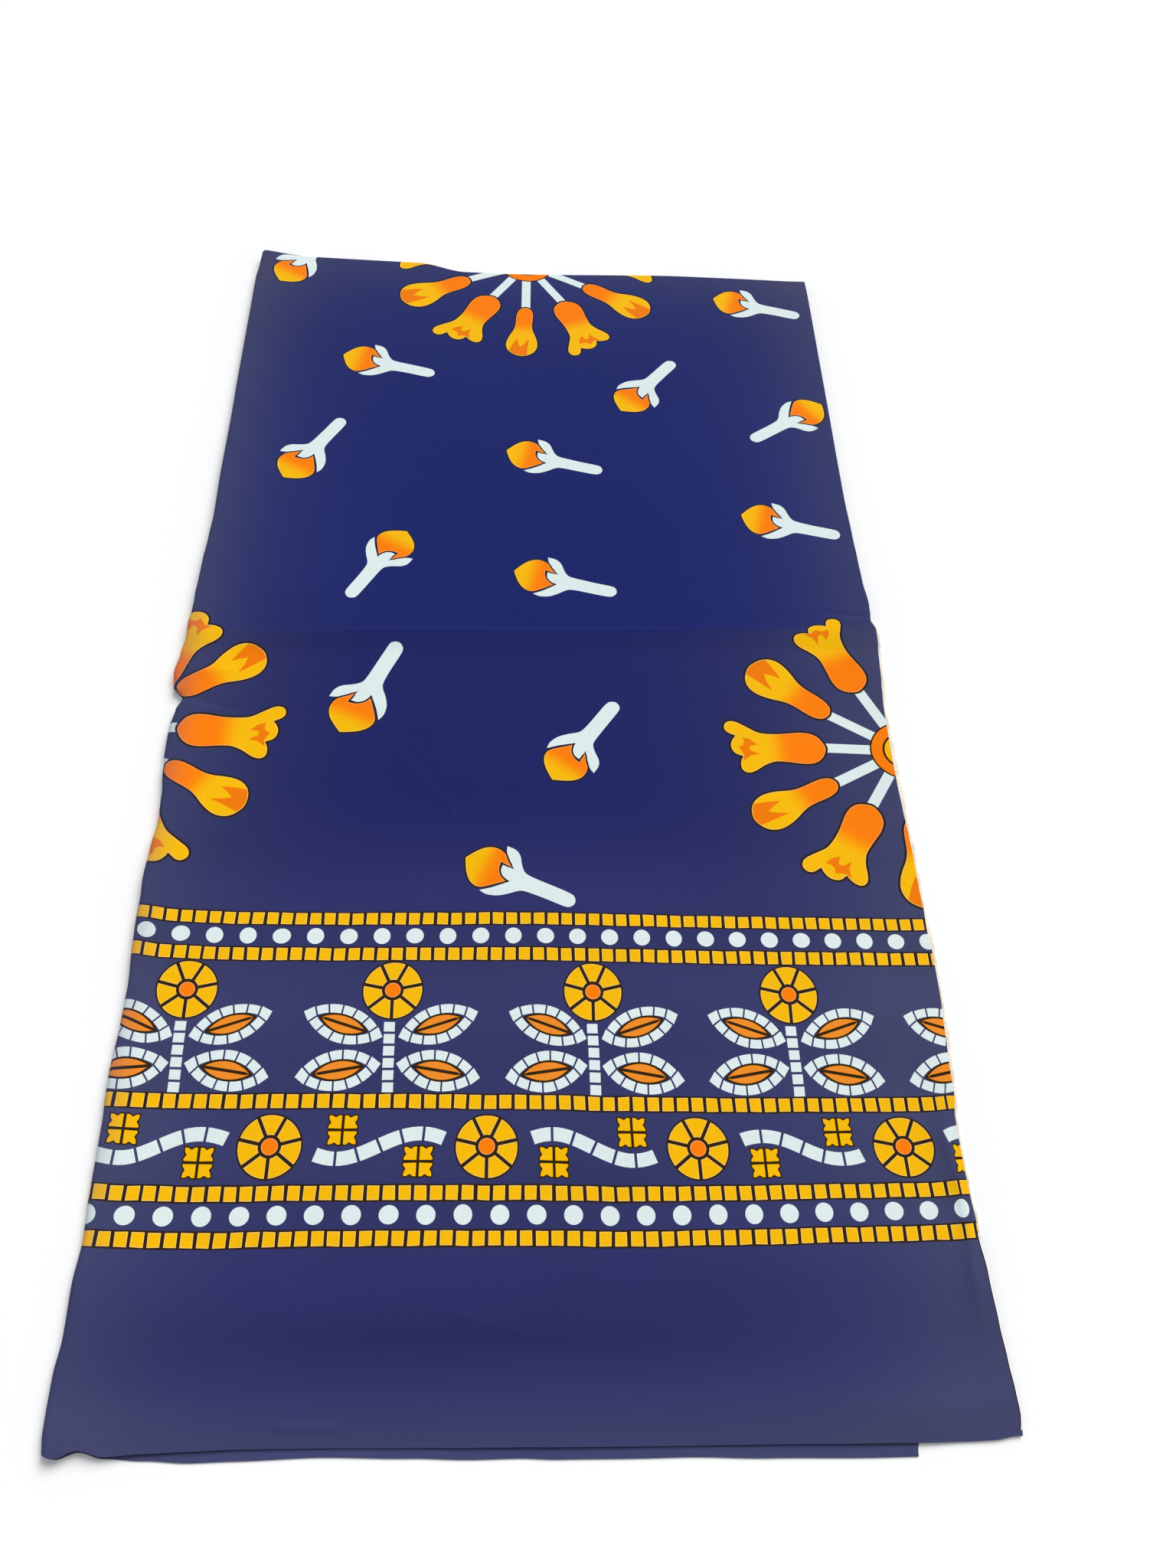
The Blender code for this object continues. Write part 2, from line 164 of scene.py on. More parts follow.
# In millimetres: how far each long edge wanders outwards, how high the face puffs up beside it, and how far
# the selvedge shows
EDGE_COLUMNS = ("along", "left_out", "right_out", "left_puff", "right_puff", "selvedge")
EDGES = np.array(
    [
        (0, -1.4, 3, 2.4, 0.6, 0),
        (12, 0.1, 4.7, 2.4, 0.8, 0),
        (24, 0.3, 4.1, 2.4, 0.9, 0),
        (40, 0.3, 2.8, 2.4, 1, 0),
        (60, -1.4, 1.4, 2.4, 1.2, 0),
        (88, -0.9, -0.6, 2.5, 2, 0),
        (112, -2.6, -3, 2.6, 2.6, 3),
        (140, -1.6, -4.7, 3, 3.2, 3.5),
        (152, -1.6, -5.1, 3.1, 3.2, 3.3),
        (184, -1.4, -5.2, 3.6, 3.2, 3.5),
        (200, -0.4, -2.8, 4, 2.6, 3),
        (216, -0.2, -2.6, 4.2, 2.2, 4.2),
        (244, -1.6, -1, 4.6, 1.1, 4.1),
        (272, -1.9, 0.4, 4.8, 0.8, 2.9),
        (304, 0, 0.6, 5, 0.4, 3.3),
        (320, 0.6, -0.4, 4.9, 0.5, 4.1),
        (336, 0.4, 0, 4.9, 0.5, 2.2),
        (352, 1.2, -0.4, 4.8, 0.6, 3.1),
        (376, -0.1, -0.4, 4.5, 0.7, 3.1),
        (396, -2, -1, 4.2, 0.8, 3.3),
        (420, -1, -2.2, 4.1, 0.9, 3.7),
        (440, 1.2, -3, 4, 1.1, 5.3),
        (456, 2.4, -3.3, 4, 1.2, 4.7),
        (476, 2.6, -3.3, 3.8, 1.3, 4.5),
        (494, 0.3, -3.2, 3.4, 1.4, 4.2),
        (504, -3, -3.2, 2.6, 1.6, 3.1),
        (514, 4.6, -3, 3.8, 1.8, 3.3),
        (528, 6.4, -2, 4.9, 2, 4.6),
        (545, 4.1, -0.7, 4.7, 2.1, 3.1),
        (562, 1.8, 0.2, 4.4, 2.2, 4.3),
        (576, 2.2, 1.3, 4.2, 2.2, 3.3),
        (588, 1, 1, 4, 2.2, 3.6),
        (597, 0.8, -2.2, 4, 1.9, 4.4),
        (606, 1.1, -1.2, 4, 1.4, 0),
        (616, 0.6, -0.9, 4, 1.2, 0),
        (640, 0.1, -3, 3.9, 1.2, 0),
        (665, -1.1, -3.6, 3.7, 1.1, 0),
        (690, -2.1, -4.3, 3.6, 1, 0),
        (740, -1.4, -5.4, 3.4, 1, 0),
        (800, -1.5, -5.7, 3.2, 1, 0),
        (865, -0.9, -5.8, 3.1, 1, 0),
        (940, -0.8, -5.9, 3, 1, 0),
        (1000, -0.6, -6.1, 2.9, 1, 0),
        (1018, -1.8, -6.2, 2.8, 1, 0),
        (1040, -2.6, -6.4, 2.8, 1, 0),
    ],
    dtype=[(name, float) for name in EDGE_COLUMNS],
)

# In millimetres: how far the near edge of each leaf sticks out, across the cloth
NEAR_EDGE_COLUMNS = ("across", "face_out", "lower_out")
NEAR_EDGE = np.array(
    [
        (0, -1, -1),
        (8, 1.4, 1.4),
        (20, -2.6, -2),
        (34, 0.6, 1.4),
        (56, -0.6, 2.8),
        (80, -1.2, 4.3),
        (104, -1.8, 3.9),
        (150, -1.5, 2.9),
        (200, -0.8, 4.3),
        (236, -0.2, 5.6),
        (260, 0, 5.4),
        (284, 0.4, 6.4),
        (330, 0.8, 6.7),
        (356, 1, 6.6),
        (404, 1.2, 8),
        (464, 1.8, 8.9),
        (500, 2.1, 8.8),
        (524, 1.8, 8.6),
        (536, 1.4, 8.6),
        (550, -0.4, 8.6),
    ],
    dtype=[(name, float) for name in NEAR_EDGE_COLUMNS],
)

# The camera, in the lens's millimetres and the cloth's metres: its place over the cloth, and two of its
# directions
CAMERA_SENSOR = 36.0
CAMERA_LENS = 28.125
CAMERA_PLACE = (0.2403, -0.0400)
CAMERA_RIGHT = (0.9969, -0.0225, 0.0753)
CAMERA_AHEAD = (0.0760, 0.5195, -0.8511)
CAMERA_CLIPS = (0.01, 50.0)

# The soft light: the way to it, in metres, and how wide it looks, in degrees. Then the sky's faint blue,
# and the floor's half width and how far it lies below the cloth.
SOFTBOX_PLACE = (1.0, 1.7, 2.0)
SOFTBOX_ANGLE = 45.0
SKY_COLOUR = (0.97, 0.985, 1.0, 1.0)
FLOOR_HALF = 6.0
FLOOR_DROP = 0.0002

# Creases left by handling: each end, height and half width in metres. A height below 0 is a dent.
CREASES = (
    (0.160, 0.468, 0.223, 0.399, 0.0005, 0.0030),
    (0.203, 0.076, 0.288, 0.054, 0.0004, 0.0035),
    (0.118, 0.0136, 0.166, 0.0126, 0.0006, 0.0024),
    (0.092, 0.085, 0.126, 0.058, -0.0006, 0.0140),
    (0.5375, 0.045, 0.5380, 0.200, 0.0016, 0.0042),
    (0.020, 0.5685, 0.524, 0.5885, 0.0004, 0.0016),
    (0.010, 0.505, 0.052, 0.497, -0.0007, 0.0030),
    (0.004, 0.528, 0.044, 0.536, 0.0006, 0.0040),
    (0.012, 0.115, 0.030, 0.310, -0.0004, 0.0070),
    (0.505, 0.607, 0.552, 0.602, -0.0006, 0.0024),
    (0.300, 0.620, 0.470, 0.660, 0.0003, 0.0060),
    (0.060, 0.700, 0.190, 0.735, 0.0003, 0.0070),
    (0.330, 0.225, 0.345, 0.108, 0.0002, 0.0060),
)
# Each sways by these shares of its half width, over these lengths, and fades over this share of its length
CREASE_SWAYS = ((0.15, 0.011), (0.6, 0.037))
CREASE_FADE = 0.25
NARROW_CREASE = 0.005


def eased(t):
    """0 below 0, 1 above 1, and a smooth S between them."""
    t = np.clip(t, 0, 1)
    return t * t * (3 - 2 * t)


def read_table(table, key, name, at):
    """One column of a table at these places, with an S from each row's value to the next one's."""
    knots = table[key]
    row = np.clip(np.searchsorted(knots, at, side="right") - 1, 0, len(knots) - 2)
    share = eased((at - knots[row]) / (knots[row + 1] - knots[row]))
    return table[name][row] * (1 - share) + table[name][row + 1] * share


def to_world(points):
    """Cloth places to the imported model's frame: its fold line and its far fold are where the model's are."""
    shift = (FACE_LOW.x + WIDEST_AT_LEFT, FACE_HIGH.y - LAID_LENGTH, 0.0)
    return np.asarray(points) + shift


# ---------------------------------------------------------------- the lie of the cloth


def edge_table(name, y):
    """A column of EDGES at these places along, in metres."""
    return read_table(EDGES, "along", name, y / MM) * MM


def near_edge(name, x):
    """A leaf's near edge: as far before y = 0 as its column of NEAR_EDGE says."""
    return -read_table(NEAR_EDGE, "across", name, x / MM) * MM


def right_edge(y):
    """The face's right edge: the laid width and how far it wanders outwards there."""
    return LAID_WIDTH + edge_table("right_out", y)


def roll_inside(y):
    """Where the roll at the left starts: as far right of the fold's outer side as the roll reaches out."""
    return ROLL_REACH - edge_table("left_out", y)


def crease_line(x):
    """The straight line where the turned-under end stops, a little further along at the right."""
    return CREASE_AT_LEFT + CREASE_SKEW * x


def ground(x, y):
    """What the folded pair lies on: the floor, then an S up on to the turned-under end."""
    return UNDER_RISE * eased((y - crease_line(x) + CREASE_SLOPE + CREASE_GAP) / CREASE_SLOPE)


def lower_right_edge(y):
    """The lower leaf's right side: the lesser of the line of its turned-in corner, whose tip an S draws in,
    and a line just inside the face leaf's edge."""
    ear = DOG_EAR_ACROSS + (right_edge(DOG_EAR_ALONG) - DOG_EAR_ACROSS) * np.maximum(y, 0) / DOG_EAR_ALONG
    start, stop = DOG_EAR_TIP_SPAN
    ear = ear - DOG_EAR_TIP_INSET * eased((stop - y) / (stop - start))
    return np.minimum(ear, right_edge(y) - LOWER_LEAF_INSET)


def past_dog_ear(x, y):
    """How far a place lies outside the line of the lower leaf's turned-in corner: its cross product with
    the line's direction."""
    run = right_edge(DOG_EAR_ALONG) - DOG_EAR_ACROSS
    return ((x - DOG_EAR_ACROSS) * DOG_EAR_ALONG - y * run) / math.hypot(run, DOG_EAR_ALONG)


def creases(x, y):
    """The sum of the handling creases: each a bell across its line, fading out past its ends."""
    height = 0
    for x0, y0, x1, y1, size, width in CREASES:
        length = math.hypot(x1 - x0, y1 - y0)
        along = ((x - x0) * (x1 - x0) + (y - y0) * (y1 - y0)) / length
        across = ((x - x0) * (y1 - y0) - (y - y0) * (x1 - x0)) / length
        sway = sum(share * width * np.sin(along / reach) for share, reach in CREASE_SWAYS)
        fade = CREASE_FADE * length
        ends = eased(along / fade) * eased((length - along) / fade)
        height = height + size * ends * np.exp(-(((across - sway) / width) ** 2))
    return height


def face_height(x, y):
    """The face leaf's upper side: the leaves below it, a puff beside each fold that falls off as a bell,
    slow waves that are sines across and along, and the creases. It sinks by an S where nothing backs it and
    at its near edge."""
    height = ground(x, y) + FACE_RISE
    start, stop = DOG_EAR_SINKS_PAST
    unbacked = eased((past_dog_ear(x, y) - start) / (stop - start))
    height = height - UNBACKED_SINKS * unbacked
    left, right = np.maximum(x, 0), np.maximum(LAID_WIDTH - x, 0)
    height = height + edge_table("left_puff", y) * np.exp(-((left / LEFT_PUFF_REACH) ** 1.5))
    height = height + edge_table("right_puff", y) * np.exp(-((right / RIGHT_PUFF_REACH) ** 2))
    puff = FAR_FOLD_PUFF * (1 - FAR_PUFF_LOSES * eased(x / FAR_PUFF_CORNER))
    height = height + puff * np.exp(-(((LAID_LENGTH - y) / FAR_PUFF_REACH) ** 2))
    for size, across, along, phase in FACE_WAVES:
        turn = 2 * math.pi * (across * x / LAID_WIDTH + along * y / LAID_LENGTH) + phase
        height = height + size * (1 + np.sin(turn))
    sink = NEAR_EDGE_SINKS * (1 - eased(y / NEAR_EDGE_SINK_REACH)) * (1 - NEAR_EDGE_SINK_LOSES * unbacked)
    sink = sink * eased((x - NEAR_EDGE_SINK_STARTS) / NEAR_EDGE_SINK_GROWS)
    return height + creases(x, y) - sink


def far_fold(x):
    """Where the arc round the far fold starts: an S from the corner down to its sag, then a dent, which
    goes in by one S and comes out by a slower one."""
    start, deepest, rising, stop = FAR_DENT_SPAN
    dent = eased((x - start) / (deepest - start)) * (1 - eased((x - rising) / (stop - rising)))
    sag = FAR_FOLD_SAG * eased((x - FAR_SAG_STARTS) / FAR_SAG_REACH)
    return LAID_LENGTH - ROLL_REACH - sag - FAR_DENT * dent


def lay_face(x, y):
    """The face leaf's outer side. Past the flat part it goes half a turn round the fold, out by the sine of
    the angle turned and down by its cosine; past the far left corner it does so along the line from the
    corner."""
    base_y = np.minimum(y, far_fold(x))
    inside = roll_inside(base_y)
    base_x = np.maximum(x, inside)
    left, beyond = base_x - x, y - base_y
    distance = np.hypot(left, beyond)
    turned = math.pi * distance / FOLD_ARC
    reach = ROLL_REACH * np.sin(turned) / np.maximum(distance, 1e-9)
    top = face_height(base_x, base_y)
    start, stop = LEFT_ROLL_LANDS
    foot = ground(base_x, base_y) * (1 - eased((base_y - LAID_LENGTH + start) / (start - stop)))
    foot = np.where(beyond > left, 0, foot)
    z = (top + foot) / 2 + (top - foot) / 2 * np.cos(turned)
    return np.stack([base_x - left * reach, base_y + beyond * reach, z], axis=-1)


def lay_lower(x, y):
    """The lower leaf's outer side, which faces down: flat on what it lies on."""
    return np.stack([x, y, ground(x, y)], axis=-1)


def lay_under(x, y):
    """The turned-under end's outer side, folded in half at x = 0: the half past the fold lies below, facing
    down, the other lies on it, and between them is half a turn."""
    swing = UNDER_LEFT_INSET + UNDER_ROLL + np.interp(y, UNDER_SWING_SPAN, (0.0, UNDER_SWING))
    turn = np.clip(x / UNDER_ROLL_ARC, -0.5, 0.5) * math.pi
    flat = np.maximum(np.abs(x) - UNDER_ROLL_ARC / 2, 0)
    across = swing - UNDER_ROLL * np.cos(turn) + flat
    size, wide, long = UNDER_RIPPLE
    ripple = size * np.sin(x / wide) * np.sin(y / long) * (x > 0)
    return np.stack([across, y, UNDER_ROLL * (1 + np.sin(turn)) + ripple], axis=-1)


# ---------------------------------------------------------------- flat outlines, in millimetres


def smooth(points, corners=(), steps=5):
    """A closed curve through the points, straightened to steps chords between each two. Its slope at a
    point is that from the point before to the point after, except at a corner, where each side has its
    own."""
    points = np.asarray(points, float)
    before, after = np.roll(points, 1, axis=0), np.roll(points, -1, axis=0)
    leaving = (after - before) / 2
    arriving = leaving.copy()
    for corner in corners:
        leaving[corner] = (after - points)[corner]
        arriving[corner] = (points - before)[corner]
    t = (np.arange(steps) / steps)[None, :, None]
    start, stop = points[:, None], after[:, None]
    leave, arrive = leaving[:, None], np.roll(arriving, -1, axis=0)[:, None]
    curve = (2 * t**3 - 3 * t**2 + 1) * start + (t**3 - 2 * t**2 + t) * leave
    curve = curve + (3 * t**2 - 2 * t**3) * stop + (t**3 - t**2) * arrive
    return curve.reshape(-1, 2)


def drawn_in(outline, by):
    """The outline moved inwards, each corner along the line that halves it. Less than 0 moves it outwards."""
    outline = np.asarray(outline, float)
    ahead = np.roll(outline, -1, axis=0)
    side = ahead - outline
    side = side / np.linalg.norm(side, axis=1)[:, None]
    inward = np.stack([-side[:, 1], side[:, 0]], axis=1)
    if (outline[:, 0] * ahead[:, 1] - ahead[:, 0] * outline[:, 1]).sum() < 0:
        inward = -inward
    last = np.roll(inward, 1, axis=0)
    openness = 1 + (inward * last).sum(axis=1)
    return outline + by * (inward + last) / np.maximum(openness, 0.45)[:, None]


def placed(outline, at=(0, 0), turn=0.0, scale=1.0, flip=False):
    """The outline flipped over its own x axis if asked, scaled, turned by degrees and moved."""
    outline = np.asarray(outline, float) * scale
    if flip:
        outline = outline * (1, -1)
    cos, sin = math.cos(math.radians(turn)), math.sin(math.radians(turn))
    return outline @ np.array([[cos, sin], [-sin, cos]]) + at


def divided(outline, longest):
    """The outline with places added along its sides, so that none of them is longer than this."""
    ahead = np.roll(outline, -1, axis=0)
    count = np.ceil(np.linalg.norm(ahead - outline, axis=1) / longest).astype(int)
    step = np.repeat((ahead - outline) / count[:, None], count, axis=0)
    taken = np.arange(count.sum()) - np.repeat(np.cumsum(count) - count, count)
    return np.repeat(outline, count, axis=0) + step * taken[:, None]


def circle(radius, count):
    """This many points round a circle: the cosine and the sine of even steps of a turn."""
    angle = np.linspace(0, 2 * math.pi, count, endpoint=False)
    return radius * np.stack([np.cos(angle), np.sin(angle)], axis=1)


def box_outline(x0, y0, x1, y1):
    """The four corners of a rectangle, in order round it."""
    return np.array([(x0, y0), (x1, y0), (x1, y1), (x0, y1)], float)


def arc_point(along, half_length, half_width):
    """A point on the upper arc of the lens between two circular arcs, at this distance along its axis."""
    along = np.asarray(along, float)
    radius = (half_length**2 + half_width**2) / (2 * half_width)
    return np.stack([along, np.sqrt(radius**2 - along**2) - radius + half_width], axis=-1)


def lens(half_length, half_width, steps=12):
    """The lens between two circular arcs: the upper arc, then its mirror image back without the two tips."""
    arc = arc_point(np.linspace(-half_length, half_length, steps + 1), half_length, half_width)
    return np.concatenate([arc, arc[-2:0:-1] * (1, -1)])


class Print:
    """The print's outlines in the order that its colours are laid on, each with its colour and, where it
    fades to a second one, the line and the stretch along it that it fades over."""

    def __init__(self):
        """Starts with no outlines."""
        self.outlines, self.colours, self.fades, self.inside = [], [], [], []

    def add(self, outline, colour, fade=None, inside=None):
        """Lays an outline over the others and gives its number. Where inside is another's number, only what
        lies in that one counts."""
        self.outlines.append(np.asarray(outline, float))
        self.colours.append(colour)
        self.fades.append(fade)
        self.inside.append(inside)
        return len(self.outlines) - 1


# From here to here across, the print is drawn; the part outside the cloth's edges goes round the folds or
# is cut off
PRINT_SPAN = (-40.0, 580.0)

# The border: it repeats every REPEAT across, with 14 tiles and 6 dots to a repeat. Tiles are shaken, and
# dots stretched, by up to these amounts. A paler rim is left round each yellow shape.
REPEAT = 134.6
TILE_PITCH = REPEAT / 14
TILE_HALF_GAP = 1.1
TILE_SHAKE = 0.2
TILE_RIM = 0.4
DOT_PITCH = REPEAT / 6
DOT_RADIUS = 5.85
DOT_STRETCH = (0.96, 1.04)
TILE_ROWS = (
    # middle, height, first gap
    (323.7, 8.6, 9.20),
    (297.2, 9.0, 8.37),
    (195.0, 8.8, 5.96),
    (138.7, 8.6, 2.60),
    (112.0, 8.6, 9.57),
)
DOT_ROWS = ((310.6, 8.7), (125.7, 1.6))

# Rosettes: the wedges' number, the dark seam between them, their rim, and the core's two discs
ROSETTE_RADIUS = 20.5
ROSETTE_WEDGES = 7
ROSETTE_SEAM = 1.15
ROSETTE_RIM = 0.35
ROSETTE_HOLE = 6.1
ROSETTE_DISCS = ((5.2, "orange_rim"), (4.7, "orange"))

# Leaves: the arcs of the ring and of the blade as half length and half width, where the ring's seams cross
# its outer and inner arc, the tile at its tip, the dark line round the blade, and its rib
LEAF_OUTER, LEAF_INNER, LEAF_BLADE = (27.9, 13.5), (18.0, 6.3), (15.2, 5.6)
LEAF_SEAMS = ((-21.95, -18.0), (-14.3, -11.3), (-4.8, -3.7), (4.8, 3.7), (14.3, 11.3), (21.95, 18.0))
LEAF_TIP = ((22.4, 5.4), (27.5, 0.0), (22.4, -5.4), (18.7, 0.0))
LEAF_SEAM = 0.58
LEAF_LINE = 1.35
LEAF_RIB = ((-15.8, 0.0), (-13.5, -1.0), (12.0, -1.0), (15.8, 0.0), (12.0, 1.0), (-13.5, 1.0))

# Sprigs: the first one's place across, its rosette's along and how tall that is, the stem's tiles (how
# many, the first one's place, their pitch and height, how far they reach left and right) and their lean,
# and the leaves (across, along, way out in degrees, fullness)
SPRIG_START = 40.7
SPRIG_ROSETTE = (270.6, 1.03)
STEM_TILES = 6
STEM_START, STEM_PITCH, STEM_HEIGHT = 200.6, 8.2, 6.5
STEM_LEFT, STEM_RIGHT = 3.9, 3.2
STEM_LEAN, STEM_LEAN_STEP = 0.6, 0.25
SPRIG_LEAVES = ((31.1, 246.7, 18.9, 1.0), (32.0, 215.2, -9.6, 1.05))

# The wave row: its middle rosette, the wave's mean height, swing, start, length and slope, its tiles, and
# the quatrefoils by it (across and along) with how far the second is shifted
WAVE_MIDDLE = 239.6
WAVE_ROSETTE_Y = 166.8
WAVE_MEAN, WAVE_SWING, WAVE_START, WAVE_LENGTH, WAVE_SLOPE = 166.9, 7.5, 67.4, 100, 0.01
WAVE_SPAN = (27.2, 107.2)
WAVE_TILES = 6
WAVE_HALF_WIDTH = 5.2
WAVE_SEAM = 0.85
QUATREFOILS = ((42.4, 157.4, 0.0), (91.4, 176.9, 1.15))
QUATREFOIL_HALF = 7.5
PETAL_LINE = 0.95
PETAL = (
    (0.9, 0.85), (8.7, 1.0), (9.0, 2.0), (7.3, 4.5), (8.5, 6.6), (8.7, 8.9), (6.9, 8.9), (4.6, 7.6),
    (2.6, 9.1), (0.9, 9.0),
)  # fmt: skip

# How far the printed rows wander, along the cloth and across it, at places across it: the rows near y 126,
# 195 and 311
WANDER_COLUMNS = ("across", "near", "middle", "far", "near_side", "middle_side", "far_side")
ROW_WANDER = np.array(
    [
        (-40.0, 0.0, 0.0, 0.0, 0.5, 0.9, -0.3),
        (0.0, 1.7, 1.6, 1.9, 0.5, 0.9, -0.3),
        (24.0, 0.7, 1.2, -0.1, 0.6, 0.6, -0.5),
        (70.0, -0.1, 0.8, -0.9, 0.5, 0.3, -0.6),
        (130.0, 0.4, 1.0, -0.6, 0.2, 0.1, -0.4),
        (190.0, 0.2, 1.1, 0.4, 0.1, 0.2, -0.2),
        (265.0, -0.1, 0.7, 1.3, 0.6, 0.1, -0.2),
        (330.0, -1.3, -1.1, 0.8, 0.9, -0.4, -0.6),
        (400.0, -0.8, -1.8, 0.4, 1.1, -0.7, -0.3),
        (470.0, 0.4, -1.5, -0.1, 1.0, -0.9, 0.3),
        (520.0, 1.0, -1.3, -0.4, 0.7, -1.0, 1.1),
        (560.0, 2.0, 0.0, -0.4, -0.2, -1.1, 1.5),
    ],
    dtype=[(name, float) for name in WANDER_COLUMNS],
)


# The printed rows' wander is read between these two rows and this one along, and it fades out from here to
# there
WANDER_ROWS = (126, 195, 311)
WANDER_FADES = (340, 460)

# Every printed place ripples by this much, over these lengths
RIPPLE = 0.12
RIPPLE_LENGTHS = (8.3, 17.0, 6.1, 13.0)

# Where the crease line takes in the print at the right: its start along, how far it reaches, the share
# hidden, and the stretches across and along over which that grows and fades
TUCK = (582.0, 25.0, 0.34)
TUCK_GROWS = (440, 40)
TUCK_FADES = (615, 30)

# Where the crease beside the right edge takes in the print: from here across, over this width, by this
# much, between these two places along, where it grows and fades over this length
PINCH = (532.0, 18.0, 3.2, 95.0, 215.0)
PINCH_FADE = 15


def wander(points):
    """Moves printed places by ROW_WANDER, as the cloth was stretched in printing, and by a slow ripple of
    an eighth of a millimetre. The rows' wander fades out above the border. TUCK shortens the print at the
    crease line and PINCH narrows it at the crease beside the right edge, each by an S."""
    x, y = points[:, 0], points[:, 1]
    rows = [read_table(ROW_WANDER, "across", name, x) for name in WANDER_COLUMNS[1:]]
    low, middle, high = WANDER_ROWS
    lower = np.clip((y - low) / (middle - low), 0, 1)
    upper = np.clip((y - middle) / (high - middle), 0, 1)
    fade = np.clip((WANDER_FADES[1] - y) / (WANDER_FADES[1] - WANDER_FADES[0]), 0, 1)
    moves = [
        ((near * (1 - lower) + middle * lower) * (1 - upper) + far * upper) * fade
        for near, middle, far in (rows[3:], rows[:3])
    ]
    a, b, c, d = RIPPLE_LENGTHS
    ripple = RIPPLE * np.stack([np.sin(y / a + x / b), np.sin(x / c - y / d)], axis=1)
    start, reach, share = TUCK
    fade = 1 - eased((y - TUCK_FADES[0]) / TUCK_FADES[1])
    tucked = share * np.clip(y - start, 0, reach) * eased((x - TUCK_GROWS[0]) / TUCK_GROWS[1]) * fade
    start, width, most, low, high = PINCH
    ends = eased((y - low) / PINCH_FADE) * (1 - eased((y - high + PINCH_FADE) / PINCH_FADE))
    pinched = most * eased((x - start) / width) * ends
    return points + np.stack(moves, axis=1) + ripple - np.stack([pinched, tucked], axis=1)


def repeats(start, pitch, more=0):
    """The numbers k for which start + k times the pitch lies in PRINT_SPAN, and that many more at the end."""
    return range(math.ceil((PRINT_SPAN[0] - start) / pitch), int((PRINT_SPAN[1] - start) / pitch) + more)


def add_tile_rows(design):
    """Each row of tiles is a dark band with yellow squares at even steps, every corner shaken a little.
    Each row of dots is white circles at even steps, made a little wider and flatter, or the other way."""
    draw = np.random.default_rng(7)
    for middle, height, start in TILE_ROWS:
        low, high = middle - height / 2 - TILE_HALF_GAP, middle + height / 2 + TILE_HALF_GAP
        edges = np.arange(*PRINT_SPAN, TILE_PITCH / 2)
        near, far = (np.stack([edges, np.full_like(edges, y)], 1) for y in (low, high))
        design.add(np.concatenate([near, far[::-1]]), "outline")
        for k in repeats(start, TILE_PITCH):
            left = start + k * TILE_PITCH
            cell = box_outline(left, low, left + TILE_PITCH, high)
            tile = drawn_in(cell, TILE_HALF_GAP) + draw.uniform(-TILE_SHAKE, TILE_SHAKE, (4, 2))
            design.add(tile, "yellow_rim")
            design.add(drawn_in(tile, TILE_RIM), "yellow")
    for y, start in DOT_ROWS:
        for k in repeats(start, DOT_PITCH, 1):
            stretch = draw.uniform(*DOT_STRETCH)
            at = (start + k * DOT_PITCH, y)
            design.add(placed(circle(DOT_RADIUS, 24) * (stretch, 1 / stretch), at), "white")


def add_rosette(design, at, tallness=1.0):
    """A dark disc with yellow wedges, one seam between them straight down, round an orange core. A wedge lies
    between an outer and an inner arc of the same angles, and is drawn in by half a seam."""
    stretch = (1, tallness)
    design.add(placed(circle(ROSETTE_RADIUS, 56) * stretch, at), "outline")
    wedge = 2 * math.pi / ROSETTE_WEDGES
    for k in range(ROSETTE_WEDGES):
        start = -math.pi / 2 + k * wedge
        outer, inner = start + np.linspace(0, wedge, 11), start + np.linspace(wedge, 0, 5)
        arc = np.stack([np.cos(outer), np.sin(outer)], 1) * ROSETTE_RADIUS
        back = np.stack([np.cos(inner), np.sin(inner)], 1) * ROSETTE_HOLE
        shape = drawn_in(np.concatenate([arc, back]), ROSETTE_SEAM)
        design.add(placed(shape * stretch, at), "yellow_rim")
        design.add(placed(drawn_in(shape, ROSETTE_RIM) * stretch, at), "yellow")
    for radius, colour in ROSETTE_DISCS:
        design.add(placed(circle(radius, 28), at), colour)


def add_leaf(design, at, turn, fullness, flip):
    """A ring of twelve white tiles, one at each tip and five along each arc, round an orange lens with a
    dark rib. Each tile lies between two arcs, cut off where the seams cross them, and all of it is made
    fuller across."""

    def put(outline):
        """An outline made fuller across, then turned and moved to the leaf's place."""
        return placed(np.asarray(outline) * (1, fullness), at, turn, flip=flip)

    tiles = [np.array(LEAF_TIP), np.array(LEAF_TIP) * (-1, 1)]
    for (outer_a, inner_a), (outer_b, inner_b) in zip(LEAF_SEAMS[:-1], LEAF_SEAMS[1:]):
        outer = arc_point(np.linspace(outer_a, outer_b, 4), *LEAF_OUTER)
        inner = arc_point(np.linspace(inner_b, inner_a, 4), *LEAF_INNER)
        tile = drawn_in(np.concatenate([outer, inner]), LEAF_SEAM)
        tiles += [tile, tile * (1, -1)]
    for tile in tiles:
        design.add(put(tile), "white")
    blade = lens(*LEAF_BLADE)
    design.add(put(drawn_in(blade, -LEAF_LINE)), "outline")
    design.add(put(blade), "leaf_orange")
    design.add(put(LEAF_RIB), "outline")


def add_sprig(design, x):
    """A stem of white tiles that leans a little less with each, below a rosette, with two leaves on each
    side that mirror each other."""
    for k in range(STEM_TILES):
        low = STEM_START + STEM_PITCH * k
        middle = x + STEM_LEAN - STEM_LEAN_STEP * k
        design.add(box_outline(middle - STEM_LEFT, low, middle + STEM_RIGHT, low + STEM_HEIGHT), "white")
    for side in (1, -1):
        for dx, y, turn, fullness in SPRIG_LEAVES:
            add_leaf(design, (x + side * dx, y), turn if side > 0 else 180 - turn, fullness, side < 0)
    add_rosette(design, (x, SPRIG_ROSETTE[0]), SPRIG_ROSETTE[1])


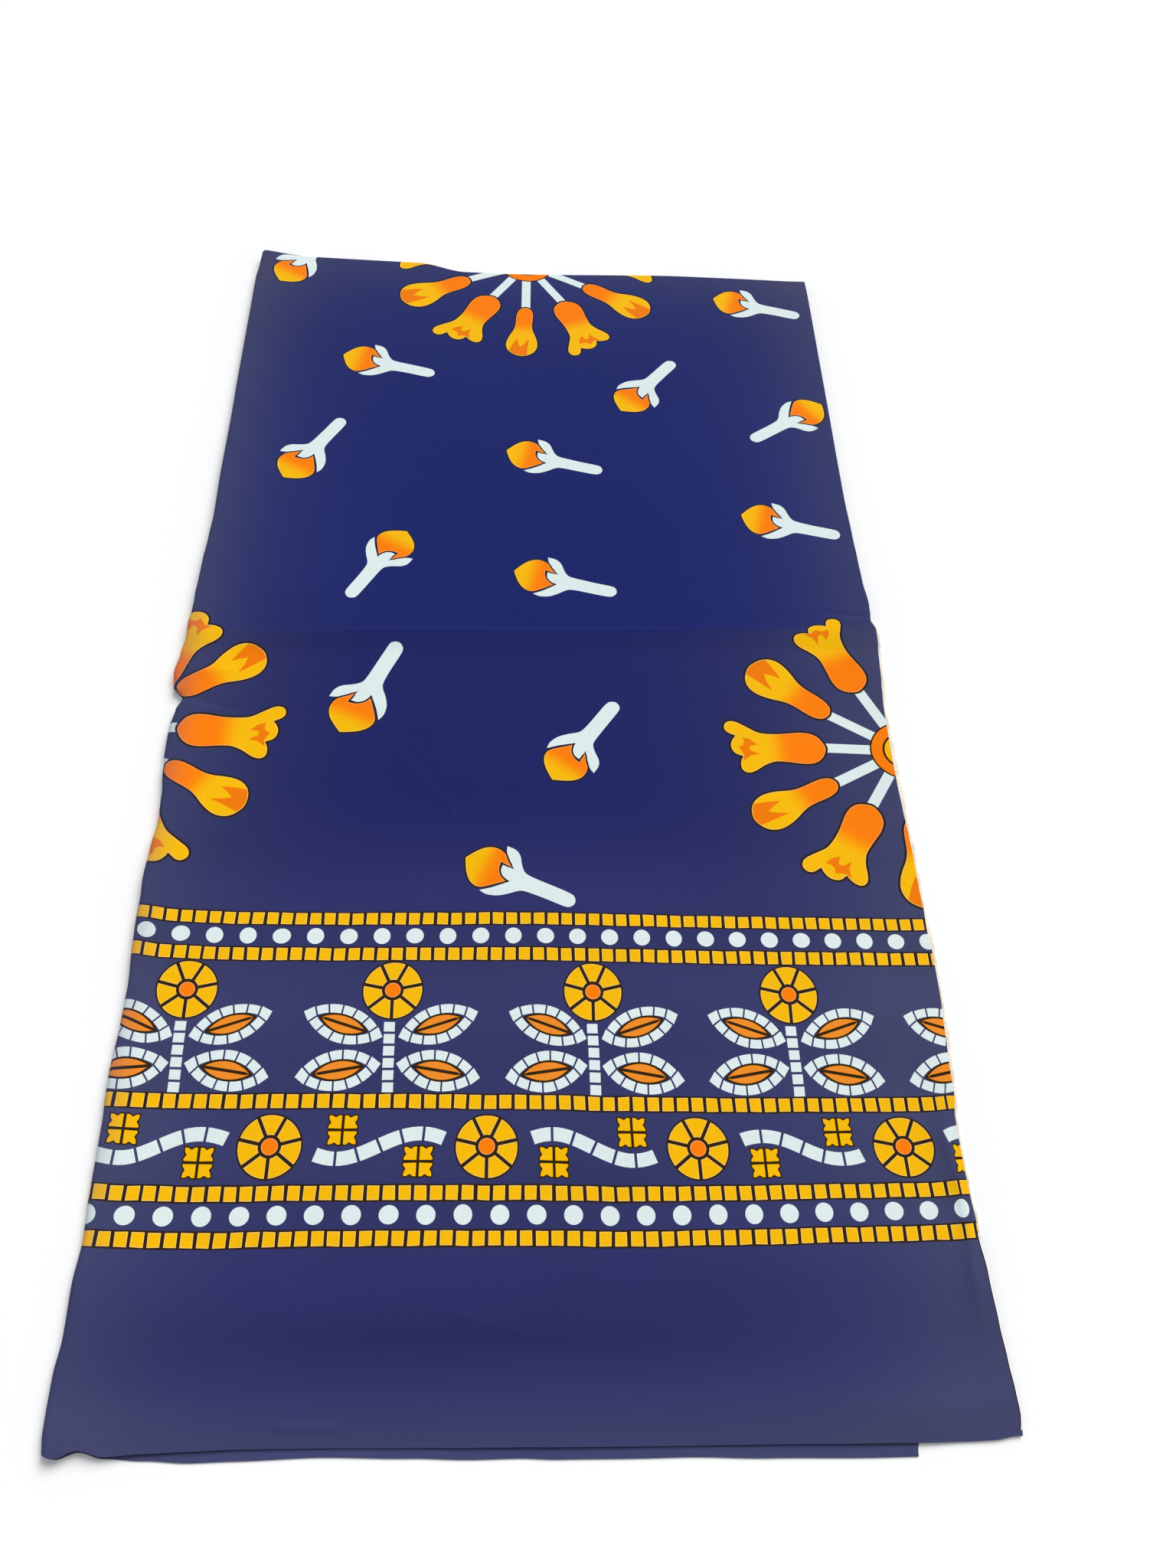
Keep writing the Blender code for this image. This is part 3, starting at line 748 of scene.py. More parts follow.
def add_quatrefoil(design, at):
    """A square of four yellow petals, each notched on its two outer sides, on a dark ground: one petal and
    its mirror images across, along and both."""
    petals = [np.array(PETAL) * (sx, sy) for sx in (1, -1) for sy in (1, -1)]
    half = QUATREFOIL_HALF
    design.add(placed(box_outline(-half, -half, half, half), at), "outline")
    for petal in petals:
        design.add(placed(drawn_in(petal, -PETAL_LINE), at), "outline")
    for petal in petals:
        design.add(placed(petal, at), "yellow")


def wave_line(t):
    """The wave's middle: a sine over a slight slope, t across from the rosette that it starts from."""
    t = t - WAVE_START
    return WAVE_MEAN - WAVE_SWING * np.sin(2 * math.pi * t / WAVE_LENGTH) - WAVE_SLOPE * t


def add_wave(design, x, side):
    """White tiles along a wave, with a quatrefoil above one end and below the other. A tile's long sides
    lie half a width from the wave's middle, square to it."""
    edges = np.linspace(WAVE_SPAN[0] + side, WAVE_SPAN[1], WAVE_TILES + 1)
    for a, b in zip(edges[:-1], edges[1:]):
        t = np.linspace(a, b, 5)
        middle = np.stack([t, wave_line(t)], 1)
        slope = wave_line(t + 0.5) - wave_line(t - 0.5)
        out = WAVE_HALF_WIDTH * np.stack([-slope, np.ones(5)], 1) / np.hypot(slope, 1)[:, None]
        tile = np.concatenate([middle - out, (middle + out)[::-1]])
        design.add(drawn_in(tile, WAVE_SEAM) * (side, 1) + (x, 0), "white")
    for across, along, shift in QUATREFOILS:
        add_quatrefoil(design, (x + side * across + shift, along))


def add_border(design):
    """The rows, and at each repeat a sprig and a wave-row rosette. The waves run out to both sides from the
    middle rosette."""
    add_tile_rows(design)
    low, high = ((end - SPRIG_START) / REPEAT for end in PRINT_SPAN)
    for k in range(math.floor(low), math.ceil(high) + 1):
        add_sprig(design, SPRIG_START + k * REPEAT)
    low, high = ((end - WAVE_MIDDLE) / REPEAT for end in PRINT_SPAN)
    for k in range(math.floor(low), math.ceil(high) + 1):
        x = WAVE_MIDDLE + k * REPEAT
        add_rosette(design, (x, WAVE_ROSETTE_Y))
        if k >= 0:
            add_wave(design, x, 1)
        if k <= 0:
            add_wave(design, x, -1)


# Flower buds: where the stem ends, the way from there to the bulb in degrees, the size, and whether it is
# flipped
BUDS = (
    (64.9, 1067.3, 240.6, 0.975, False),
    (173.3, 876.0, 166.8, 0.98, False),
    (96.7, 807.6, 240.0, 0.98, False),
    (325.7, 760.3, 166.9, 0.98, False),
    (399.6, 902.6, 232.1, 0.98, True),
    (471.5, 807.0, 36.3, 0.98, False),
    (530.8, 693.0, 167.1, 0.98, False),
    (122.2, 609.6, 60.5, 0.955, False),
    (333.5, 621.0, 167.2, 0.975, False),
    (159.9, 559.1, 246.0, 1.057, False),
    (331.9, 506.6, 233.8, 0.98, True),
    (295.1, 338.4, 156.3, 0.961, False),
    (528.0, 983.0, 166.8, 0.98, False),
)
BUD_STEM = (
    (2.0, -5.2), (20.0, -5.4), (36.0, -6.0), (41.0, -8.5), (44.5, -13.0), (48.0, -18.5), (53.0, -21.8),
    (60.3, -22.3), (58.5, -17.5), (54.0, -11.5), (47.5, -5.75), (57.0, -7.2), (56.2, -1.0), (52.0, 3.2),
    (46.5, 4.4), (51.0, 9.0), (57.0, 14.5), (64.0, 19.6), (58.0, 20.8), (50.0, 18.8), (43.0, 14.0),
    (38.0, 9.5), (33.0, 7.3), (20.0, 6.7), (2.0, 6.5), (-2.7, 4.4), (-4.4, 0.6), (-2.7, -3.4),
)  # fmt: skip
BUD_STEM_CORNERS = (7, 10, 11, 14, 17)
BUD_BULB = (
    (84.8, -0.6), (82.3, 4.4), (78.5, 10.6), (73.5, 15.6), (68.0, 17.6), (63.5, 16.6), (57.5, 12.2),
    (49.5, 5.5), (54.7, 2.9), (58.2, -2.0), (59.3, -8.0), (50.2, -6.9), (54.5, -10.6), (59.0, -15.5),
    (64.0, -17.3), (69.5, -17.0), (75.5, -13.6), (80.5, -7.6),
)  # fmt: skip
BUD_BULB_CORNERS = (0, 7, 10, 11)

# Its dark line and paler rim, and the stretch along it over which orange turns to yellow
BUD_LINE = 1.4
BUD_RIM = 0.45
BUD_FADE = (62.0, 76.0)


def add_bud(design, x, y, turn, scale, flip):
    """A white stem that opens into a toothed calyx, and a bulb that goes from orange to yellow at its
    point. Both are smooth curves through their points, turned and placed together."""

    def put(outline):
        """An outline scaled, turned and moved to the bud's place."""
        return placed(outline, (x, y), turn, scale, flip)

    design.add(put(smooth(BUD_STEM, BUD_STEM_CORNERS, 3)), "white")
    bulb = smooth(BUD_BULB, BUD_BULB_CORNERS, 3)
    design.add(put(drawn_in(bulb, -BUD_LINE)), "outline")
    way = put([(along, 0.0) for along in BUD_FADE])
    design.add(put(bulb), "orange_rim", fade=(*way, "yellow_rim"))
    design.add(put(drawn_in(bulb, BUD_RIM)), "orange", fade=(*way, "yellow"))


# Flower wheels: the hub's rings, the spokes, how far they run under the hub and the trumpets, and then each
# hub and its trumpets, as kind, root, the way out in degrees, size, and fullness across it, below 0 where
# it is flipped
HUB_RADIUS = 25.8
HUB_RINGS = ((HUB_RADIUS, "outline"), (24.5, "orange"), (16.0, "outline"), (14.3, "yellow"))
SPOKE_HALF_WIDTH = 4.2
SPOKE_OVERLAPS = (3, 1)
WHEELS = (
    (
        (556.0, 471.0),
        (
            ("flute", 496.6, 473.0, 180.6, 1, -1), ("paddle", 502.2, 504.1, 143.0, 1, 1.02),
            ("flute", 529.6, 526.7, 114.2, 1.0, -1), ("paddle", 500.3, 441.8, 207.3, 1, 0.84),
            ("flute", 525.0, 422.4, 237.6, 0.99, -1), ("paddle", 555.6, 412.3, 268.1, 1.01, 1),
        ),
    ),
    (
        (-57.0, 474.0),
        (
            ("flute", 3.4, 475.8, 0.2, 0.982, 1.02), ("paddle", -0.3, 508.0, 36.0, 0.973, -0.91),
            ("flute", -19.5, 511.0, 68.0, 1.03, 0.9), ("paddle", 0.7, 443.2, 332.1, 0.901, -0.98),
            ("flute", -23.1, 430.0, 293.6, 0.98, 1), ("paddle", -57.0, 412.0, 270.0, 0.9, -1),
            ("paddle", -57.0, 536.0, 90.0, 0.9, -1),
        ),
    ),
    (
        (262.0, 1040.0),
        (
            ("paddle", 206.0, 1013.9, 209.6, 0.98, 0.95), ("flute", 229.8, 990.0, 240.5, 0.98, -1),
            ("paddle", 261.3, 975.0, 266.0, 0.93, 0.86), ("flute", 296.0, 987.0, 293.0, 0.97, -1),
            ("flute", 202.5, 1046.5, 179.0, 0.95, -1), ("paddle", 318.0, 1012.0, 330.0, 0.97, 0.95),
            ("flute", 322.0, 1046.0, 0.0, 0.95, 1),
        ),
    ),
)  # fmt: skip
FLUTE = (
    (1.0, 0.8), (4.7, 8.3), (8.3, 11.6), (12.8, 13.4), (19.7, 14.0), (27.5, 13.2), (36.0, 12.4),
    (44.5, 12.4), (51.5, 13.2), (56.0, 15.0), (61.0, 18.1), (65.5, 20.8), (70.0, 23.2), (74.0, 23.8),
    (77.6, 22.4), (79.2, 19.2), (79.0, 15.9), (76.5, 13.0), (70.8, 10.2), (73.2, 7.3), (75.0, 3.2),
    (75.2, -0.6), (73.8, -4.3), (71.2, -6.7), (66.4, -8.4), (68.1, -12.0), (68.9, -16.0), (68.4, -20.2),
    (66.0, -22.7), (62.6, -23.3), (59.0, -22.1), (55.3, -19.9), (51.2, -17.0), (46.2, -14.5),
    (40.8, -13.0), (33.5, -13.2), (26.0, -14.0), (19.5, -14.7), (14.2, -14.5), (9.2, -13.0),
    (5.0, -9.6), (2.2, -5.0),
)  # fmt: skip
FLUTE_CORNERS = (18, 24)
FLUTE_ZIGZAG = (
    (65.8, 8.8), (60.0, 7.2), (54.8, 2.2), (61.0, 0.8), (60.8, -3.0), (53.8, -6.4), (60.6, -7.8),
    (66.8, -12.6), (65.8, -6.8), (69.4, -0.6), (65.8, 1.8), (64.8, 4.8),
)  # fmt: skip
PADDLE_HALF = (
    (2.0, 5.0), (5.0, 7.6), (10.0, 9.4), (17.0, 9.9), (25.0, 9.8), (32.0, 10.4), (38.0, 12.2),
    (44.0, 14.9), (51.0, 17.3), (57.5, 18.3), (63.0, 17.6), (68.5, 14.7), (72.8, 9.0),
)  # fmt: skip
PADDLE = ((0.3, 0.0), *PADDLE_HALF, (75.2, 0.0), *((x, -y) for x, y in PADDLE_HALF[::-1]))
PADDLE_FLAME = (
    (82.0, 7.4), (66.0, 7.4), (48.0, 7.7), (56.0, 3.2), (62.0, -2.0), (55.5, -4.6), (49.0, -6.4),
    (58.5, -10.8), (68.0, -14.0), (82.0, -16.5),
)  # fmt: skip


# A trumpet's dark line and paler rim, and the stretch along each kind over which orange turns to yellow
TRUMPET_LINE = 1.75
TRUMPET_RIM = 0.5
FLUTE_FADE = (29.0, 48.0)
PADDLE_FADE = (24.0, 43.0)


def add_trumpet(design, kind, x, y, turn, scale, fullness):
    """A flower on its spoke, orange at the root and yellow past its middle: a flute with three lobes and a
    zigzag, or a paddle with a two-tongued flame that reaches in from its tip. Its shape is a smooth curve
    through its points, made fuller across, turned and placed."""

    def put(outline):
        """An outline made fuller across, then scaled, turned and moved to the trumpet's root."""
        return placed(np.asarray(outline) * (1, fullness), (x, y), turn, scale)

    flute = kind == "flute"
    shape = smooth(FLUTE, FLUTE_CORNERS, 3) if flute else smooth(PADDLE, (), 4)
    design.add(put(drawn_in(shape, -TRUMPET_LINE)), "outline")
    way = put([(along, 0.0) for along in (FLUTE_FADE if flute else PADDLE_FADE)])
    design.add(put(shape), "orange_rim", fade=(*way, "yellow_rim"))
    fill = design.add(put(drawn_in(shape, TRUMPET_RIM)), "orange", fade=(*way, "yellow"))
    design.add(put(FLUTE_ZIGZAG if flute else PADDLE_FLAME), "ember", inside=fill)


def add_wheel(design, hub, trumpets):
    """A white spoke from the hub to each trumpet's root, the hub as discs one on another, and the
    trumpets."""
    hub = np.array(hub)
    under_hub, under_root = SPOKE_OVERLAPS
    for _, x, y, *_ in trumpets:
        way = np.array((x, y)) - hub
        length = np.linalg.norm(way)
        spoke = box_outline(HUB_RADIUS - under_hub, -SPOKE_HALF_WIDTH, length + under_root, SPOKE_HALF_WIDTH)
        design.add(placed(spoke, hub, math.degrees(math.atan2(way[1], way[0]))), "white")
    for radius, colour in HUB_RINGS:
        design.add(placed(circle(radius, 56), hub), colour)
    for trumpet in trumpets:
        add_trumpet(design, *trumpet)


# Up to this far across, and from this far along, the print goes round a fold, so its sides are cut this
# short
FOLD_STRIP = (6.0, 1028.0)
FOLD_STRIP_SIDE = 2.0


def full_print():
    """The whole print: the border, the wheels and the buds, each place then moved as wander says."""
    design = Print()
    add_border(design)
    for wheel in WHEELS:
        add_wheel(design, *wheel)
    for bud in BUDS:
        add_bud(design, *bud)
    for k, outline in enumerate(design.outlines):
        if outline[:, 0].min() < FOLD_STRIP[0] or outline[:, 1].max() > FOLD_STRIP[1]:
            outline = divided(outline, FOLD_STRIP_SIDE)
        design.outlines[k] = wander(outline)
    return design


# ---------------------------------------------------------------- meshes


# The mesh between the printed outlines: the rows' pitch as a share of the spacing, the steps over which a
# slope is taken, in metres, and the least area of a triangle, in square millimetres
LATTICE_ROW = 0.87
SLOPE_STEP = 2e-5
LEAST_AREA = 1e-7

# Steps between places along the outlines, in metres: the face's near edge and sides, the rolls, the far
# fold and the leaf below, and the hidden end. Then how far past the right edge the bare edge's bands are
# cut.
NEAR_STEP = 0.0025
SIDE_STEP = 0.003
ROLL_STEP = 0.0035
LONG_STEP = 0.004
HIDDEN_STEP = 0.006
PAST_EDGE = 0.002

# Where a sheet's UV map holds each side, as its corner and size, and where the rim's strip lies
OUTER_PATCH = (0.01, (0.86, 0.98))
INNER_PATCH = ((0.91, 0.01), (0.08, 0.98))
RIM_STRIP = (0.885, 0.895)

# Near the lengthwise fold the print is paled towards the pale navy, painted sheen of the fold's roll as well
# as rubbing:
# by this share, over this many millimetres
FOLD_SHEEN_AND_RUB = (0.30, 11.0)

# The back of the cloth shows its ground by one share and the pale navy of the painted sheen and wear by
# another
BACK_SHARES = (0.9, 0.25)

# Where the ground's tone changes, in millimetres: the crease line and the border, each as start and reach
FAR_TONE = (8, 14)
NEAR_TONE = (335, 95)


def rgb(code):
    """A colour written as sRGB hex, in linear light: each part over 12.92 where it is dark, and otherwise a
    power of 2.4."""
    code = code.lstrip("#")
    srgb = np.array([int(code[k : k + 2], 16) for k in (0, 2, 4)]) / 255
    return np.where(srgb <= 0.04045, srgb / 12.92, ((srgb + 0.055) / 1.055) ** 2.4)


def lattice(outline, spacing):
    """Places inside the outline's box, in rows that are set half a step from each other, as in a
    honeycomb."""
    low, high = outline.min(axis=0), outline.max(axis=0)
    rows = np.arange(low[1], high[1], spacing * LATTICE_ROW)
    columns = np.arange(low[0], high[0], spacing)
    x = columns[None, :] + (np.arange(len(rows)) % 2 * spacing / 2)[:, None]
    y = np.repeat(rows[:, None], len(columns), axis=1)
    return np.stack([x.ravel(), y.ravel()], axis=1)


def wound_left(outline):
    """The outline in the order that keeps its inside on the left: turned round where its signed area is
    below 0."""
    ahead = np.roll(outline, -1, axis=0)
    turned = (outline[:, 0] * ahead[:, 1] - ahead[:, 0] * outline[:, 1]).sum() < 0
    return outline[::-1] if turned else outline


def cut_out(outline, design, extra):
    """Triangles that fill the outline, with an edge wherever a printed outline passes, and the print's
    topmost layer on each of them, -1 where it is bare. All in millimetres. They are the Delaunay triangles
    of all the points, held to the outlines' sides."""
    low, high = outline.min(axis=0), outline.max(axis=0)
    boxes = [(loop.min(axis=0), loop.max(axis=0)) for loop in design.outlines]
    shown = [k for k, (least, most) in enumerate(boxes) if (most > low).all() and (least < high).all()]
    loops = [wound_left(loop) for loop in [outline] + [design.outlines[k] for k in shown]]
    starts = np.cumsum([0] + [len(loop) for loop in loops])
    faces = [list(range(a, b)) for a, b in zip(starts[:-1], starts[1:])]
    points = [Vector(p) for p in np.concatenate(loops + [extra]).tolist()]
    found, _, triangles, _, _, holders = delaunay_2d_cdt(points, [], faces, 1, 1e-4, True)
    kept, layers = [], []
    for triangle, holding in zip(triangles, holders):
        if 0 not in holding:
            continue
        held = {shown[f - 1] for f in holding if f}
        fits = [k for k in held if design.inside[k] is None or design.inside[k] in held]
        kept.append(triangle)
        layers.append(max(fits, default=-1))
    points, kept = np.array(found), np.array(kept)
    a, b, c = (points[kept[:, k]] for k in range(3))
    area = (b[:, 0] - a[:, 0]) * (c[:, 1] - a[:, 1]) - (b[:, 1] - a[:, 1]) * (c[:, 0] - a[:, 0])
    kept = np.where((area < 0)[:, None], kept[:, ::-1], kept)
    solid = np.abs(area) > LEAST_AREA
    kept, layers = kept[solid], np.array(layers)[solid]
    used, kept = np.unique(kept, return_inverse=True)
    return points[used], kept.reshape(-1, 3), layers


def ground_colour(points, colours):
    """The navy ground, in linear light. It goes from a deep blue past the crease line to a duller one near
    the border, by an S across the crease and a slower one above the rows: painted light, for how the light
    falls on each part. It pales towards each side by a share that falls off as exp(-(distance / reach) **
    power),
    more so nearer by, and towards both ends: painted sheen where the cloth turns away, with some wear. Slow
    bands run across, and a darker bar of painted shade lies along the near end."""
    x, y = points[:, 0], points[:, 1]
    far = eased((y - crease_line(x * MM) / MM + FAR_TONE[0]) / FAR_TONE[1])
    near = 1 - eased((y - NEAR_TONE[0]) / NEAR_TONE[1])
    tone = rgb(colours.navy) * far[:, None] + rgb(colours.navy_middle) * (1 - far - near)[:, None]
    tone = tone + rgb(colours.navy_near) * near[:, None]
    left, right = np.maximum(x, 0), np.maximum(LAID_WIDTH / MM - x, 0)
    # painted sheen and some wear at the left side, the right side, the far end and the near edge, and paler at
    # the border's middle
    sheen_and_wear = (0.92 - 0.04 * near) * np.exp(-((left / (66 - 18 * far - 14 * near)) ** (1.4 - 0.3 * far)))
    sheen_and_wear = sheen_and_wear + (1.15 - 0.42 * far) * np.exp(-((right / (90 - 30 * far - 15 * near)) ** 1.4))
    sheen_and_wear = sheen_and_wear + 0.75 * np.exp(-np.maximum(1045 - y, 0) / 60) + 0.95 * np.exp(-(((y + 6) / 30) ** 2))
    sheen_and_wear = sheen_and_wear + 0.45 * np.exp(-(((y - 215) / 105) ** 6))
    # slow bands near by, patches everywhere, and a darker bar along the near end, painted shade of a slow wave
    # in the cloth
    band = 0.05 * np.sin(y / 13 + 0.6 * np.sin(x / 90)) * near + 0.04 * np.sin(x / 71 + 1) * np.sin(y / 93)
    band = band - 0.16 * np.exp(-(((y - 62 + x / 40) / 9) ** 2) - ((x - 230) / 130) ** 2)
    sheen_and_wear = np.clip(sheen_and_wear, 0, 1.2)[:, None]
    return (tone * (1 - sheen_and_wear) + rgb(colours.navy_sheen_and_wear) * sheen_and_wear) * (1 + band)[:, None]


def corner_colours(points, triangles, layers, design, colours):
    """The print's colour at each corner of each triangle, which an S takes from one to another where it
    fades. Near the lengthwise fold it is paled towards the pale navy, a painted sheen of the fold's roll as
    well as rubbing, by the share and reach set for the fold above: a share there, which falls off as
    exp(-(distance / reach) ** 2)."""
    flat = points[triangles].reshape(-1, 2)
    layer = np.repeat(layers, 3)
    result = ground_colour(flat, colours)
    sheen_and_rub = (FOLD_SHEEN_AND_RUB[0] * np.exp(-((np.maximum(flat[:, 0], 0) / FOLD_SHEEN_AND_RUB[1]) ** 2)))[:, None]
    for k in np.unique(layers[layers >= 0]):
        chosen = layer == k
        colour = rgb(getattr(colours, design.colours[k]))
        if design.fades[k] is None:
            result[chosen] = colour
            continue
        start, stop, second = design.fades[k]
        way = stop - start
        share = eased(((flat[chosen] - start) @ way) / (way @ way))[:, None]
        result[chosen] = colour * (1 - share) + rgb(getattr(colours, second)) * share
    printed = (layer >= 0)[:, None]
    return np.where(printed, result * (1 - sheen_and_rub) + rgb(colours.navy_sheen_and_wear) * sheen_and_rub, result)


def border_of(triangles):
    """The mesh's open edges, each as its start and end, with the mesh on the left: those whose reverse
    isn't also an edge."""
    edges = np.concatenate([triangles[:, [0, 1]], triangles[:, [1, 2]], triangles[:, [2, 0]]])
    count = triangles.max() + 1
    forward, backward = edges[:, 0] * count + edges[:, 1], edges[:, 1] * count + edges[:, 0]
    return edges[~np.isin(forward, backward)]


def make_sheet(name, outline, design, lay, faces_up, spacing, extra, colours, material):
    """A closed sheet of cloth. Its outer side is the cut outline laid by lay, its inner side lies a wall
    behind it, and a rim joins them along the open edges. Normals come from lay itself, so they don't show
    the triangles.

    lay takes metres. The sheet's UV map holds the outer side, a strip for the rim and one for the inner
    side.
    """
    points = np.concatenate([lattice(outline, spacing), extra])
    flat, triangles, layers = cut_out(outline, design, points)
    x, y = flat.T * MM
    across = lay(x + SLOPE_STEP, y) - lay(x - SLOPE_STEP, y)
    along = lay(x, y + SLOPE_STEP) - lay(x, y - SLOPE_STEP)
    normal = np.cross(across, along)
    normal /= np.linalg.norm(normal, axis=1)[:, None]
    if not faces_up:
        normal, triangles = -normal, triangles[:, ::-1]
    outer = to_world(lay(x, y))
    inner = outer - normal * WALL
    count = len(outer)
    rim = border_of(triangles)
    vertices = np.concatenate([outer, inner])
    side = vertices[rim[:, 1]] - vertices[rim[:, 0]]
    rim_normal = np.cross(side, normal[rim[:, 0]])
    rim_normal /= np.maximum(np.linalg.norm(rim_normal, axis=1), 1e-12)[:, None]
    rims = np.concatenate([rim[:, ::-1], rim + count], axis=1)

    mesh = bpy.data.meshes.new(name)
    sides = np.concatenate([np.full(2 * len(triangles), 3), np.full(len(rims), 4)])
    corners = np.concatenate([triangles.ravel(), (triangles[:, ::-1] + count).ravel(), rims.ravel()])
    mesh.vertices.add(len(vertices))
    mesh.vertices.foreach_set("co", vertices.ravel())
    mesh.loops.add(len(corners))
    mesh.loops.foreach_set("vertex_index", corners)
    mesh.polygons.add(len(sides))
    mesh.polygons.foreach_set("loop_start", np.concatenate([[0], np.cumsum(sides)[:-1]]))
    mesh.update(calc_edges=True)
    mesh.shade_smooth()

    fresh = corner_colours(flat, triangles, layers, design, colours)
    ground, sheen_and_wear = ground_colour(flat, colours)[triangles[:, ::-1].ravel()], rgb(colours.navy_sheen_and_wear)
    edge = np.tile(rgb(colours.cut_edge_and_edge_shadow), (4 * len(rims), 1))
    dyes = np.concatenate([fresh, ground * BACK_SHARES[0] + sheen_and_wear * BACK_SHARES[1], edge])
    paint = mesh.attributes.new("print", "FLOAT_COLOR", "CORNER")
    paint.data.foreach_set("color", np.column_stack([dyes, np.ones(len(corners))]).ravel())

    low, high = flat.min(axis=0), flat.max(axis=0)
    share = (flat - low) / (high - low)
    (outer_at, outer_size), (inner_at, inner_size) = OUTER_PATCH, INNER_PATCH
    strip = np.repeat(RIM_STRIP, 2)[:, None] * (1.0, 0.0)
    tall = share[rims % count][..., 1:] * (0.0, outer_size[1]) + (0.0, outer_at)
    uv = np.concatenate(
        [
            (share * outer_size + outer_at)[triangles.ravel()],
            (share * inner_size + inner_at)[triangles[:, ::-1].ravel()],
            (tall + strip).reshape(-1, 2),
        ]
    )
    mesh.uv_layers.new(name="OFBake").data.foreach_set("uv", uv.ravel())

    flat_normals = np.concatenate(
        [normal[triangles.ravel()], -normal[triangles[:, ::-1].ravel()], np.repeat(rim_normal, 4, axis=0)]
    )
    mesh.validate()
    mesh.normals_split_custom_set(flat_normals.tolist())
    mesh.materials.append(material)
    piece = bpy.data.objects.new(name, mesh)
    bpy.context.scene.collection.objects.link(piece)
    return piece


def spread(start, stop, step):
    """Places from start to stop at about this step, both ends among them."""
    return np.linspace(start, stop, max(2, round(abs(stop - start) / step) + 1))


def loop_of(*runs):
    """One closed outline in millimetres from runs of places in metres, joined end to end, each without its
    last place."""
    return np.concatenate([np.stack(np.broadcast_arrays(x, y), axis=1)[:-1] for x, y in runs]) / MM


def face_outline():
    """The face leaf cut flat, with the arcs that go round the folds, their corner a quarter circle. It
    stops a tenth of a millimetre short of each arc's end, so that the last points still face outwards."""
    far, arc = float(far_fold(0.0)), FOLD_ARC - ARC_STOPS
    across = spread(roll_inside(0) - arc, right_edge(0), NEAR_STEP)
    near = near_edge("face_out", np.maximum(across, 0))
    up = spread(near[-1], far_fold(LAID_WIDTH) + arc, SIDE_STEP)
    back = spread(right_edge(far), roll_inside(far), LONG_STEP)
    turn = np.linspace(0, math.pi / 2, 10)
    down = spread(far, near[0], SIDE_STEP)
    return loop_of(
        (across, near),
        (right_edge(up), up),
        (back, far_fold(back) + arc),
        (roll_inside(far) - arc * np.sin(turn), far + arc * np.cos(turn)),
        (roll_inside(down) - arc, down),
    )


def lower_outline():
    """The lower leaf cut flat: its near edge, its right side, the far fold's line and the left roll's, the
    last two from a little inside them."""
    across = spread(roll_inside(0) + LOWER_STARTS, lower_right_edge(DOG_EAR_TIP_SPAN[0]), SIDE_STEP)
    near = near_edge("lower_out", across)
    up = spread(near[-1], far_fold(LAID_WIDTH) - LOWER_STOPS, LONG_STEP)
    back = spread(lower_right_edge(up[-1]), roll_inside(LAID_LENGTH) + LOWER_STARTS, LONG_STEP)
    far = far_fold(back) - LOWER_STOPS
    down = spread(far[-1], near[0], LONG_STEP)
    left = roll_inside(down) + LOWER_STARTS
    return loop_of((across, near), (lower_right_edge(up), up), (back, far), (left, down))


def under_outline(half):
    """The turned-under end cut flat and opened out, this far to each side of its fold, and how far along it
    goes. Its near edge wanders by a sine beside the crease line, its far one lies just inside the far fold,
    and both halves mirror each other."""
    across = spread(-half, half, LONG_STEP)
    size, length = UNDER_NEAR_WANDER
    inwards = UNDER_LEFT_INSET + np.abs(across)
    near = crease_line(inwards) + UNDER_NEAR_GAP + size * np.sin(across / length)
    far = far_fold(inwards) - UNDER_STOPS
    up = spread(near[-1], far[-1], HIDDEN_STEP)
    return loop_of((across, near), (half, up), (across[::-1], far[::-1]), (-half, up[::-1])), far.max()


def add_bare_edge(design):
    """BARE_EDGE_BANDS along the right edge near the corner: each from its depth inside the edge to just
    past it."""
    y = spread(*BARE_EDGE_SPAN, LONG_STEP)
    back = y[::-1]
    for depth, colour in BARE_EDGE_BANDS:
        design.add(loop_of((right_edge(y) - depth, y), (right_edge(back) + PAST_EDGE, back)), colour)


def fold_points():
    """Close rows of places along the arcs round the left and far folds: the lines where they start, moved
    out by nine even steps."""
    far = float(far_fold(0.0))
    steps = np.linspace(0, 1, 10)[:-1] * FOLD_ARC
    y = spread(0.002, far, ROLL_STEP)
    left = np.stack([roll_inside(y)[None, :] - steps[:, None], np.repeat(y[None, :], len(steps), 0)], axis=-1)
    x = spread(roll_inside(far), right_edge(far) - 0.001, ROLL_STEP)
    beyond = np.stack([np.repeat(x[None, :], len(steps), 0), far_fold(x)[None, :] + steps[:, None]], axis=-1)
    return np.concatenate([left.reshape(-1, 2), beyond.reshape(-1, 2)]) / MM


def crease_points():
    """Closer places along each narrow crease: seven lines beside its own, up to 2.2 half widths from it."""
    found = []
    for x0, y0, x1, y1, _, width in CREASES:
        if width > NARROW_CREASE:
            continue
        way = np.array([x1 - x0, y1 - y0])
        length = np.linalg.norm(way)
        way = way / length
        along = spread(0, length, SIDE_STEP)
        for offset in np.linspace(-2.2, 2.2, 7) * width:
            found.append(np.array([x0, y0]) + along[:, None] * way + offset * np.array([way[1], -way[0]]))
    return np.concatenate(found) / MM


def selvedge_sides(y):
    """Where the selvedge starts and ends across: from the lower leaf's side to past the face's edge by its
    width, with two sines for scallops and a smoothed random fray, both less where it is narrow."""
    draw = np.random.default_rng(11)
    inner = lower_right_edge(y) + SELVEDGE_GAP
    width = np.maximum(edge_table("selvedge", y), SELVEDGE_LEAST)
    fray = np.convolve(draw.normal(0, 1, len(y) + 8), np.hanning(9) / 4, "valid") * SELVEDGE_FRAY
    (size, length), (slow_size, slow_length) = SELVEDGE_SCALLOPS
    scallop = size * np.sin(y / length + 1.5 * np.sin(y / 0.013)) + slow_size * np.sin(y / slow_length)
    return inner, right_edge(y) + width + (fray + scallop) * np.minimum(width / 0.002, 1)


